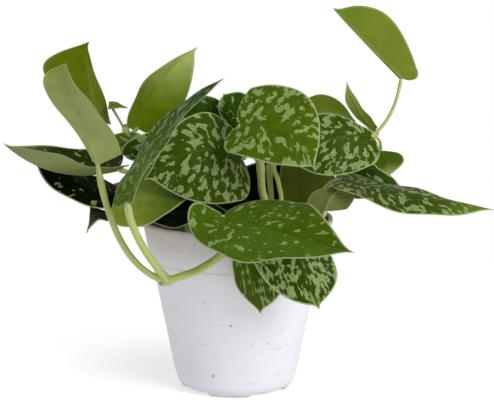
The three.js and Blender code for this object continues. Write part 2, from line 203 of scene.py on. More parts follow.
opal, tree, surface = material("opal acrylic sheet")
fill(tree, surface, {"Base Color": rgba("fafafa"), "Roughness": 0.9,
                     "Emission Color": WHITE, "Emission Strength": FLOOR_GLOW})
corners = [(-FLOOR_SIDE, FLOOR_FRONT, 0), (FLOOR_SIDE, FLOOR_FRONT, 0),
           (FLOOR_SIDE, FLOOR_BACK, 0), (-FLOOR_SIDE, FLOOR_BACK, 0)]
floor_mesh = bpy.data.meshes.new("floor")
floor_mesh.from_pydata(corners, [], [(0, 1, 2, 3)])
floor_mesh.materials.append(opal)
floor = show("floor", floor_mesh)

# %% [markdown]
# A shell here is one grid of points with facts about each point, such as its colour or how far
# it is from a leaf's margin. Blender could join such grids as separate objects, but it is
# quicker and cleaner to stack them as arrays and write one mesh. Where a grid closes on itself,
# or all its points meet at a tip, they share a place. Those points are welded, so each shell is
# a closed body, and a face that lost a corner becomes a triangle.

# %% From grids to a mesh
MM = 0.001
WELD = 0.001  # mm: points closer than this become one


def shell(points, material=0, ring=False, **facts):
    """One grid of points [rows, columns, 3] as quads; ring joins the last column to the first.

    material is one slot number, or one for each column of faces. Each fact is an array that
    spreads over the grid, and is kept for each face corner.
    """
    rows, columns = points.shape[:2]
    index = np.arange(rows * columns).reshape(rows, columns)
    near, far = index, np.roll(index, -1, axis=1)
    if not ring:
        near, far = near[:, :-1], far[:, :-1]
    quads = np.stack([near[:-1], near[1:], far[1:], far[:-1]], axis=-1)
    a, b, c = (points.reshape(-1, 3)[quads[..., i]] for i in range(3))
    if np.sum(a * np.cross(b, c)) < 0:  # the faces look inwards
        quads = quads[..., ::-1]
    slots = np.broadcast_to(material, quads.shape[:2])
    spread = {k: np.broadcast_to(f, (rows, columns, f.shape[-1])).reshape(-1, f.shape[-1])
              for k, f in facts.items()}
    return dict(points=points.reshape(-1, 3), quads=quads.reshape(-1, 4),
                slots=slots.reshape(-1), facts=spread)


def to_mesh(name, shells, materials):
    """Shells stacked, welded where points share a place, and made one smooth mesh.

    A corner is dropped where it is the same point as the next one round its face.
    """
    points = np.vstack([s["points"] for s in shells])
    starts = np.cumsum([0] + [len(s["points"]) for s in shells[:-1]])
    quads = np.vstack([s["quads"] + start for s, start in zip(shells, starts)])
    slots = np.concatenate([s["slots"] for s in shells])
    key = np.round(points / WELD).astype(np.int64)
    _, first, weld = np.unique(key, axis=0, return_index=True, return_inverse=True)
    corners = weld.reshape(-1)[quads]
    kept = corners != np.roll(corners, -1, axis=1)
    whole = kept.sum(1) >= 3
    kept &= whole[:, None]
    sides = kept.sum(1)[whole]
    mesh = bpy.data.meshes.new(name)
    mesh.vertices.add(len(first))
    mesh.vertices.foreach_set("co", (points[first] * MM).ravel())
    mesh.loops.add(int(kept.sum()))
    mesh.loops.foreach_set("vertex_index", corners[kept].astype(np.int32))
    mesh.polygons.add(len(sides))
    mesh.polygons.foreach_set("loop_start", np.cumsum(np.r_[0, sides[:-1]]).astype(np.int32))
    mesh.polygons.foreach_set("material_index", slots[whole].astype(np.int32))
    mesh.polygons.foreach_set("use_smooth", np.ones(len(sides), bool))
    mesh.update(calc_edges=True)
    for fact in shells[0]["facts"]:
        values = np.vstack([s["facts"][fact] for s in shells])[quads[kept]]
        layer = mesh.attributes.new(fact, "FLOAT_VECTOR", "CORNER")
        layer.data.foreach_set("vector", values.ravel().astype(np.float32))
    for finish in materials:
        mesh.materials.append(finish)
    return mesh


def put(name, mesh, slot, *nodes):
    """The mesh as a piece that rides on the plant's one body and stands for those CAD nodes."""
    made = show(name, mesh)
    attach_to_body(made, "root")
    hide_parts(*nodes)
    print(f"{name}: {len(mesh.vertices)} points, {len(mesh.polygons)} faces")


# %% [markdown]
# Four formulas come back in every piece: a circle about the pot's axis, a quadratic curve, an
# even step from 0 to 1, and unevenness. Natural surfaces need unevenness that is the same each
# time the script runs. A sum of many sine waves, each in its own direction, gives smooth bumps
# of a chosen size without any image, and their directions come from a seeded generator.

# %% Formulas
def turned(radius, angle, height):
    """Points about Z: x = radius cos(angle), y = radius sin(angle), z = height."""
    axes = radius * np.cos(angle), radius * np.sin(angle), height + 0 * angle
    return np.stack(np.broadcast_arrays(*axes), axis=-1)


def quadratic(a, b, c, t):
    """The curve from a to c that b pulls on: (1 - t)^2 a + 2 t (1 - t) b + t^2 c."""
    return (1 - t) ** 2 * a + 2 * t * (1 - t) * b + t ** 2 * c


def smoothstep(low, high, x):
    """0 below low, 1 above high, and 3t^2 - 2t^3 in between."""
    t = np.clip((x - low) / (high - low), 0, 1)
    return t * t * (3 - 2 * t)


def ripples(points, size, seed, waves=24):
    """Smooth noise of about -1 to 1: the mean of sin(k . p + phase) over waves, times 3.

    Each k has a random direction and a length of 2 pi / size, give or take a third.
    """
    rng = np.random.default_rng(seed)
    k = rng.normal(size=(3, waves))
    k *= 2 * np.pi / size * rng.uniform(0.67, 1.5, waves) / np.linalg.norm(k, axis=0)
    return np.sin(points @ k + rng.uniform(0, 2 * np.pi, waves)).mean(-1) * 3


print("ripples at three points:", ripples(np.eye(3), 2, 1).round(2))

# %% [markdown]
# The pot. A nursery pot is thermoformed: a heated sheet of polypropylene about a millimetre
# thick is sucked into a mould, so every edge is round and the wall is thinnest where it was
# stretched most. It could be turned with the Spin tool, but the drainage channels under the
# floor break the round. So the pot is a profile carried round its axis, as one grid, and points
# of the outside that would lie inside a channel are lifted to the channel's roof.

# %% Pot profile
POT = dict(height=107.0, base=36.2, rim=60.0, slope=0.202, wall=1.1, floor=4.2, step=81.5,
           step_out=0.8, channels=4, channel_height=3.0, channel_width=26.0, channel_inner=14.0,
           hole=4.0, hole_circle=25.0, front_foot=-97.0)
OUTER_CORNER = np.array([(3.0, 0), (2.2, 1.2), (0.9, 4.2), (0, 9)])  # inset from the wall, rise
INNER_CORNER = np.array([(0, 8.8), (0.6, 4.5), (2.6, 1.4), (4.8, 0)])
FOOT_ROUND = 2.5


def wall_radius(height):
    """Outside of the wall: the base radius plus the slope times the height."""
    return POT["base"] + POT["slope"] * height


def corner(insets, floor, depth):
    """Profile points of the corner between wall and floor, depth mm in from the outside."""
    height = floor + insets[:, 1]
    return np.stack([wall_radius(height) - depth - insets[:, 0], height], axis=-1)


def rounded(profile, size, count=5):
    """Each corner of a [radius, height] profile becomes a quadratic curve.

    The curve starts size before the corner and ends size after it, or nearly half way along a
    shorter side.
    """
    profile = np.array(profile, float)
    before = profile[:-2] - profile[1:-1]
    after = profile[2:] - profile[1:-1]
    reach_in = np.linalg.norm(before, axis=1, keepdims=True)
    reach_out = np.linalg.norm(after, axis=1, keepdims=True)
    size = np.array(size, float)[:, None]
    a = profile[1:-1] + before / reach_in * np.minimum(size, 0.45 * reach_in)
    b = profile[1:-1] + after / reach_out * np.minimum(size, 0.45 * reach_out)
    curve = quadratic(a, profile[1:-1], b, np.linspace(0, 1, count)[:, None, None])
    return np.vstack([profile[:1], curve.transpose(1, 0, 2).reshape(-1, 2), profile[-1:]])


def pot_outline():
    """From the middle of the underside out, up the outside, over the rim and back inside.

    Each corner is a point [radius, height] and the size of its rounding.
    """
    top, step, out, rim = POT["height"], POT["step"], POT["step_out"], POT["rim"]
    wall, bottom = POT["wall"], POT["floor"]
    corners = [([0, 0], 0)]
    corners += [(point, FOOT_ROUND) for point in corner(OUTER_CORNER, 0, 0)]
    corners += [  # the step, the rolled rim's outside, its top, and the step again inside
        ([wall_radius(step), step], 0.5), ([wall_radius(step) + out, step + 0.9], 0.5),
        ([wall_radius(top - 4) + out - 0.3, top - 4], 0.6), ([rim, top - 2.9], 0.8),
        ([rim, top], 0.9), ([rim - 2.6, top], 0.7),
        ([wall_radius(top - 1.6) - wall + out, top - 1.8], 0.6),
        ([wall_radius(step) - wall + out, step + 0.8], 0.4),
        ([wall_radius(step) - wall, step - 0.4], 0.4)]
    corners += [(point, FOOT_ROUND) for point in corner(INNER_CORNER, bottom, wall)]
    corners += [([0, bottom], 0)]
    return rounded([c[0] for c in corners], [c[1] for c in corners[1:-1]])


profile = pot_outline()
print("pot profile:", len(profile), "points, rim and height:", profile.max(0), "mm")

# %% [markdown]
# The long straight runs of the profile are split further, so that the channel's edges and the
# slight waviness of a formed wall have points to sit on.

# %% Pot body
POT_SIDES, POT_STEP = 240, 2.2
SWAY = dict(depth=0.12, size=55, low=8, high=100)  # of the wall between two heights, in mm
CHANNEL_PITCH = 2 * math.pi / POT["channels"]
FIRST_CHANNEL = math.radians(POT["front_foot"]) + CHANNEL_PITCH / 2


def refine(profile, step):
    """Points along a polyline no further apart than step, with its corners kept."""
    out = [profile[:1]]
    for a, b in zip(profile[:-1], profile[1:]):
        count = max(1, math.ceil(np.linalg.norm(b - a) / step))
        out.append(a + (b - a) * np.linspace(0, 1, count + 1)[1:, None])
    return np.vstack(out)


def pot_body():
    """The profile turned about Z, with its wall swaying slightly in and out.

    Outside points below a channel's roof are lifted to it. The roof is channel_height where the
    distance to the channel's middle line is under half its width, and falls off over 2 mm.
    """
    line = refine(pot_outline(), POT_STEP)
    radius, height = line[:, :1], line[:, 1:]
    angle = np.linspace(0, 2 * np.pi, POT_SIDES, endpoint=False)[None, :]
    away = (angle - FIRST_CHANNEL + CHANNEL_PITCH / 2) % CHANNEL_PITCH - CHANNEL_PITCH / 2
    along, aside = radius * np.cos(away), np.abs(radius * np.sin(away))
    inside = smoothstep(1.5, -0.5, aside - POT["channel_width"] / 2)
    inside = inside * smoothstep(-1.5, 0.5, along - POT["channel_inner"])
    outer = (np.arange(len(line)) <= np.argmax(line[:, 1]))[:, None]
    roof = POT["channel_height"] * inside
    points = turned(radius, angle, np.where(outer & (height < roof), roof, height))
    wall = outer & (height > SWAY["low"]) & (height < SWAY["high"])
    sway = ripples(points, SWAY["size"], 3) * SWAY["depth"] * wall
    return points + turned(1 + 0 * radius, angle, 0 * radius) * sway[..., None]


body = shell(pot_body(), ring=True)
print("pot body:", len(body["quads"]), "faces")

# %% [markdown]
# The plastic: polypropylene, formed from white sheet. It is a soft white with a trace of violet,
# slightly see-through, so the damp mix behind it warms and darkens it near the top; that darkening
# is also painted shade from the leaves over the rim. The sheet's faint orange-peel texture breaks
# up its gleam. Handling left grey scuffs and a few specks of soil stuck, which tells the eye that
# this is a used nursery pot and not china. The grey under the step and the rolled rim and at the
# foot is painted shade, and the dark inside above the mix is a soil stain and painted shade. Each
# of these marks is a share from 0 to 1, and the colours are laid over each other by them, like
# coats of paint.

# %% Pot plastic
CREASES = (POT["step"] + 0.4, POT["height"] - 3.5)  # mm above the ground: painted shade lies along these creases
DAMP_AND_SHADE_FROM, DAMP_AND_SHADE_TO = 76, 107  # mm: the warm damp and the painted shade show more and more between them
SPECKS = [  # where a speck of soil sticks to the wall, and its radius, in mm
    ((-3, -46, 49), 1.3), ((-14, -37, 15), 1.6), ((-34, -44, 94), 1.0), ((10, -42, 36), 0.8),
    ((19, -39, 36), 0.9), ((31, -29, 33), 0.9), ((37, -18, 25), 0.9), ((-19, -45, 63), 0.8),
    ((-33, 30, 45), 1.2), ((20, 42, 52), 1.4), ((48, 12, 70), 1.0)]
STAIN_AND_SHADE_ENDS = ((87, 89), (106.5, 104.5))  # mm: clean at the first, darkest at the second, with soil stain and painted shade

pot_plastic, tree, surface = material("thermoformed white polypropylene")
place = add(tree, "TexCoord", {}, give="Object")
height = add(tree, "SeparateXYZ", [place], give="Z")
cloud = add(tree, "TexNoise", {"Vector": place, "Scale": per_metre(35.7), "Detail": 3.0})
# near the top the wall darkens and warms: the damp mix seen through it, and painted shade from the leaves
# above
above_mix = add(tree, "MapRange", [height, DAMP_AND_SHADE_FROM * MM, DAMP_AND_SHADE_TO * MM])
patchy = add(tree, "MapRange", [cloud, 0.3, 0.6, 0.65])
damp = add(tree, "Math", [above_mix, patchy], operation="MULTIPLY")

upright = add(tree, "Mapping", {"Vector": place, "Scale": (1.0, 1.0, 3.2)})
worn = add(tree, "TexNoise", {"Vector": upright, "Scale": per_metre(10.53), "Detail": 5.0,
                              "Roughness": 0.7})
scuff = add(tree, "MapRange", [worn, 0.58, 0.72, 0.0, 0.45])

shade_and_specks = add(tree, "MapRange", [height, 7 * MM, 1 * MM, 0.0, 0.35])  # painted contact shade at the foot
# painted shade in the crease under the step and under the rolled rim
for crease in CREASES:
    away = add(tree, "Math", [height, crease * MM], operation="SUBTRACT")
    away = add(tree, "Math", [away], operation="ABSOLUTE")
    crease_shade = add(tree, "MapRange", [away, 1.2 * MM, 0.3 * MM, 0.0, 0.4])
    shade_and_specks = add(tree, "Math", [shade_and_specks, crease_shade], operation="MAXIMUM")
# the specks are real soil on the wall, laid into the same mask as the painted shade
for spot, size in SPECKS:
    away = add(tree, "VectorMath", [place, [c * MM for c in spot]], operation="DISTANCE")
    speck = add(tree, "MapRange", [away, size * MM, size * MM / 3, 0.0, 0.65])
    shade_and_specks = add(tree, "Math", [shade_and_specks, speck], operation="MAXIMUM")

# the inside above the mix darkens: partly a soil stain, partly painted shade of the plant over it
flat = add(tree, "VectorMath", [place, (1, 1, 0)], operation="MULTIPLY")
radius = add(tree, "VectorMath", [flat], operation="LENGTH")
wall = add(tree, "Math", [height, POT["slope"], POT["base"] * MM], operation="MULTIPLY_ADD")
depth = add(tree, "Math", [wall, radius], operation="SUBTRACT")  # in from the outer face
stain_and_shade = add(tree, "MapRange", [depth, -0.3 * MM, 0.2 * MM, 0.0, 0.85])
for clean, stained in STAIN_AND_SHADE_ENDS:
    end = add(tree, "MapRange", [height, clean * MM, stained * MM])
    stain_and_shade = add(tree, "Math", [stain_and_shade, end], operation="MULTIPLY")

colour = rgba("d6d5dc")
# coats: damp with painted shade near the top, scuffs, painted shade with specks, stain with painted shade
for share, coat in ((damp, "a89e95"), (scuff, "a9a5ab"), (shade_and_specks, "757178"), (stain_and_shade, "2b2420")):
    colour = add(tree, "Mix", {"Factor": share, "A": colour, "B": rgba(coat)})
rough = add(tree, "MapRange", [worn, 0.3, 0.7, 0.46, 0.6])
peel = add(tree, "TexNoise", {"Vector": place, "Scale": per_metre(1.43), "Detail": 2.0})
skin = add(tree, "Bump", {"Height": peel, "Strength": 0.25, "Distance": 0.2 * MM})
fill(tree, surface, {"Base Color": colour, "Roughness": rough, "Normal": skin, "IOR": 1.49,
                     "Specular IOR Level": 0.3})

# %% [markdown]
# The drain holes are punched after forming. A Boolean with four round punches cuts them, and its
# result is applied, so the finished pot is a plain mesh.

# %% Pot
PUNCH = np.array([[0, -2], [1, -2], [1, 9], [0, 9]])  # share of the hole's radius, height
PUNCH_SIDES = 32

around = np.linspace(0, 2 * np.pi, PUNCH_SIDES, endpoint=False)
punches = []
for i in range(POT["channels"]):
    centre = turned(POT["hole_circle"], FIRST_CHANNEL + CHANNEL_PITCH * i, 0.0)
    tool = turned(PUNCH[:, :1] * POT["hole"], around, PUNCH[:, 1:])
    punches.append(shell(tool + centre, ring=True))

blank = show("pot blank", to_mesh("pot blank", [body], [pot_plastic]))
punch = show("punch", to_mesh("punch", punches, []))
cut = blank.modifiers.new("drain holes", "BOOLEAN")
cut.object, cut.solver = punch, "EXACT"
graph = bpy.context.evaluated_depsgraph_get()
punched = bpy.data.meshes.new_from_object(blank.evaluated_get(graph))
for helper in (blank, punch):
    bpy.data.objects.remove(helper)
put("nursery_pot", punched, "pot_plastic", "pot")

# %% [markdown]
# The potting mix is peat and composted bark with a little perlite, dark because it is damp. A
# flat disc with a bump map would give itself away at the rim and between the stems, so its top
# is a real height field: three sizes of ripples, from settled hollows down to crumbs.

# %% Potting mix
SOIL = dict(top=92.0, gap=0.3, reach=26.0,  # reach: how deep the stems stand in it
            edge=10, edge_drop=2.5, edge_gap=1.0, side_top=86.0)
SOIL_ROWS, SOIL_COLUMNS = 90, 200


def mix_side(height):
    """Radius of the mix: it fills the pot up to the CAD gap from the wall."""
    return wall_radius(height) - POT["wall"] - SOIL["gap"]


def mix_top(flat):
    """Height of the mix over points with z = 0: hollows 30 mm wide, lumps 9 and crumbs 3."""
    lumps = 1 - 2 * np.abs(ripples(flat, 9, 12))
    crumbs = 1 - 2 * np.abs(ripples(flat, 3.2, 13))
    return 1.2 * ripples(flat, 30, 11) + 0.9 * lumps + 0.5 * crumbs


def mix_body():
    """A height field on rings round the axis, closed by a side and bottom along the pot."""
    angle = np.linspace(0, 2 * np.pi, SOIL_COLUMNS, endpoint=False)[None, :]
    rim = mix_side(SOIL["top"]) - SOIL["edge_gap"]
    radius = np.linspace(rim, 0, SOIL_ROWS)[:, None]
    top = turned(radius, angle, 0.0)
    edge = smoothstep(rim, rim - SOIL["edge"], radius)
    top[..., 2] = SOIL["top"] - SOIL["edge_drop"] * (1 - edge) + edge * mix_top(top)
    low = POT["floor"] + SOIL["gap"]
    side = np.vstack([[[0, low]], corner(INNER_CORNER, low, POT["wall"] + SOIL["gap"])[::-1],
                      [[mix_side(SOIL["side_top"]), SOIL["side_top"]]]])
    return np.vstack([turned(side[:, :1], angle, side[:, 1:]), top])


print("mix profile reaches radius", round(mix_side(SOIL["top"]), 1), "mm")

# %% [markdown]
# Bark chips and perlite grains lie on the mix. Each is a stone-shaped lump of a few dozen faces,
# stretched, turned and sunk by half, all of them worked out together: one small ball of points
# times one matrix for each lump.

# %% Bark and perlite
RINGS, SPOKES = 5, 8  # points of the ball
FLATNESS = 0.62  # second axis as a share of the first
TUMBLE = (1.2, 1.2, 0.25)  # how far each axis turns: they come to lie rather flat
ROUGHNESS, ROUGH_SIZE = 0.22, 2.4
WALL_ROOM = 4  # mm


def lumps(count, sizes, squash, slot, seed):
    """Balls of points, scaled by a random size, flattened, tumbled and half sunk in the mix."""
    rng = np.random.default_rng(seed)
    polar = np.linspace(np.pi, 0, RINGS)[:, None]
    spokes = np.linspace(0, 2 * np.pi, SPOKES, endpoint=False)[None, :]
    ball = turned(np.sin(polar), spokes, np.cos(polar))
    scale = rng.uniform(*sizes, (count, 1)) * np.array([[1.0, FLATNESS, squash]])
    turn, _ = np.linalg.qr(np.eye(3) + rng.normal(size=(count, 3, 3)) * np.array(TUMBLE))
    turn = turn * np.sign(np.linalg.det(turn))[:, None, None]
    spots = ball[None] * 2 + rng.uniform(0, 50, (count, 1, 1, 3))
    rough = 1 + ROUGHNESS * ripples(spots, ROUGH_SIZE, seed)
    local = ball[None] * rough[..., None] * scale[:, None, None, :]
    local[:, [0, -1]] = local[:, [0, -1]].mean(2, keepdims=True)
    points = np.einsum("nij,nrcj->nrci", turn, local)
    radius = (mix_side(SOIL["top"]) - WALL_ROOM) * np.sqrt(rng.uniform(0, 1, count))
    centre = turned(radius, rng.uniform(0, 2 * np.pi, count), 0.0)
    centre[:, 2] = SOIL["top"] + mix_top(centre) + 0.1 * scale[:, 2]
    return [shell(p, slot, ring=True) for p in points + centre[:, None, None, :]]


bark_chips = lumps(260, (1.2, 3.4), 0.35, 1, 21)
perlite_grains = lumps(40, (0.6, 1.3), 0.8, 2, 22)
print("on the mix:", len(bark_chips), "chips and", len(perlite_grains), "grains")

# %% [markdown]
# Peat is a matte fibrous brown, nearly black when damp, and it swallows light. A little of it
# glistens where it is wet. Bark is a redder brown with long grain, perlite a chalky white full
# of pores. In all three one fine pattern gives both the colour and the relief.

# %% Mix, bark and perlite
def crumbly(name, pattern, values, dark, light, span=(0.0, 1.0), roughness=0.9, relief=(0.6, 0.6)):
    """A matt material: the pattern runs from dark to light over span, and bumps the surface.

    relief is the strength of the bumps, and their height in mm.
    """
    made, tree, surface = material(name)
    place = add(tree, "TexCoord", {}, give="Object")
    grain = add(tree, pattern, {"Vector": place, **values})
    share = add(tree, "MapRange", [grain, span[0], span[1]])
    colour = add(tree, "Mix", {"Factor": share, "A": rgba(dark), "B": rgba(light)})
    bump = add(tree, "Bump", {"Height": grain, "Strength": relief[0], "Distance": relief[1] * MM})
    fill(tree, surface, {"Base Color": colour, "Roughness": roughness, "Normal": bump})
    return made, tree, surface, grain


peat, tree, surface, crumb = crumbly(
    "damp peat and bark fines", "TexNoise",
    {"Scale": per_metre(2.38), "Detail": 6.0, "Roughness": 0.7},
    "0d0a08", "33271f", span=(0.35, 0.72), relief=(0.8, 1.2))
wet = add(tree, "MapRange", [crumb, 0.3, 0.7, 0.55])
fill(tree, surface, {"Roughness": wet})
bark, *_ = crumbly(
    "composted pine bark", "TexNoise",
    {"Scale": per_metre(1.11), "Detail": 3.0, "Distortion": 1.5},
    "2b1b12", "6a4a33", roughness=0.85)
perlite, *_ = crumbly(
    "expanded perlite", "TexVoronoi", {"Scale": per_metre(0.625)},
    "8f8a80", "d8d4ca", roughness=0.95, relief=(0.6, 0.5))

# %% Mix in the pot
mix = [shell(mix_body(), ring=True)] + bark_chips + perlite_grains
put("potting_mix_surface", to_mesh("potting_mix_surface", mix, [peat, bark, perlite]),
    "potting_mix", "potting_mix")

# %% [markdown]
# Stems and leaf stalks are round, a little thicker where a leaf joins, and end in a rounded cap
# or a bud. A Blender curve with a bevel gives an even tube, but not the swellings. So a tube is
# a ring of points carried along a path, with a radius for each step.

# %% Tubes
CAP_RINGS = 5


def unit(v):
    """Vectors scaled to length 1."""
    return v / np.maximum(np.linalg.norm(v, axis=-1, keepdims=True), 1e-9)


def tube(path, radius, cap=(1.0, 1.0), sides=14):
    """Rings round a path: p + r (cos(a) n + sin(a) b), closed by round caps at both ends.

    n is the direction that the path bends least towards, made square to each tangent, and
    b = t x n. cap gives each cap's length as a share of the radius there. Gives the points, the
    path with its caps, and the angle of each column.
    """
    tangent = unit(np.gradient(path, axis=0))
    reference = np.linalg.svd(tangent)[2][-1]
    dome = np.linspace(0, np.pi / 2, CAP_RINGS + 1)[:-1]
    first = path[0] - (np.cos(dome) * cap[0] * radius[0])[:, None] * tangent[0]
    last = path[-1] + (np.cos(dome[::-1]) * cap[1] * radius[-1])[:, None] * tangent[-1]
    path = np.vstack([first, path, last])
    radius = np.r_[np.sin(dome) * radius[0], radius, np.sin(dome[::-1]) * radius[-1]]
    ends = (np.repeat(tangent[[i]], CAP_RINGS, 0) for i in (0, -1))
    tangent = np.vstack([next(ends), tangent, next(ends)])
    n = unit(reference - (tangent @ reference)[:, None] * tangent)
    b = np.cross(tangent, n)
    angle = np.linspace(0, 2 * np.pi, sides, endpoint=False)
    ring = np.cos(angle)[:, None] * n[:, None, :] + np.sin(angle)[:, None] * b[:, None, :]
    return path[:, None, :] + radius[:, None, None] * ring, path, angle


def lengths(path):
    """Distance along a path to each of its points."""
    return np.r_[0, np.cumsum(np.linalg.norm(np.diff(path, axis=0), axis=1))]


def spline(route, count):
    """Catmull-Rom curve through every point of a route, count steps from one to the next.

    Each stretch is the cubic with the slopes (c - a) / 2 and (d - b) / 2 at its ends b and c.
    """
    route = np.array(route, float)
    p = np.vstack([2 * route[0] - route[1], route, 2 * route[-1] - route[-2]])
    a, b, c, d = (p[i:len(p) - 3 + i, None] for i in range(4))
    t = np.linspace(0, 1, count, endpoint=False)[None, :, None]
    curve = b + (c - a) / 2 * t + (2 * a - 5 * b + 4 * c - d) / 2 * t ** 2
    curve = curve + (3 * b - a - 3 * c + d) / 2 * t ** 3
    return np.vstack([curve.reshape(-1, 3), route[-1:]])


print("a right-angled route of 20 mm, rounded:",
      lengths(spline([(0, 0, 0), (10, 0, 0), (10, 10, 0)], 9))[-1].round(1), "mm")

# %% [markdown]
# The vines, as lists of points in the CAD frame. A leaf is laid out by five points on it: attach,
# where the stalk meets the blade, mid, the middle of the midrib, the tip, and the widest points
# of the left and right margin. Left is the left hand of someone who looks from attach to tip
# with the upper face towards them. start and elbow guide the stalk from the stem to the blade,
# and stalk is its radius where that isn't the usual one. The rest are pairs, (left, right): curl
# drops a margin, lobe scales how far a lobe of the heart reaches back, lift raises it, and far
# gives the margin at 72% of the length, where the blade twists or folds. look names how the
# blade is coloured.

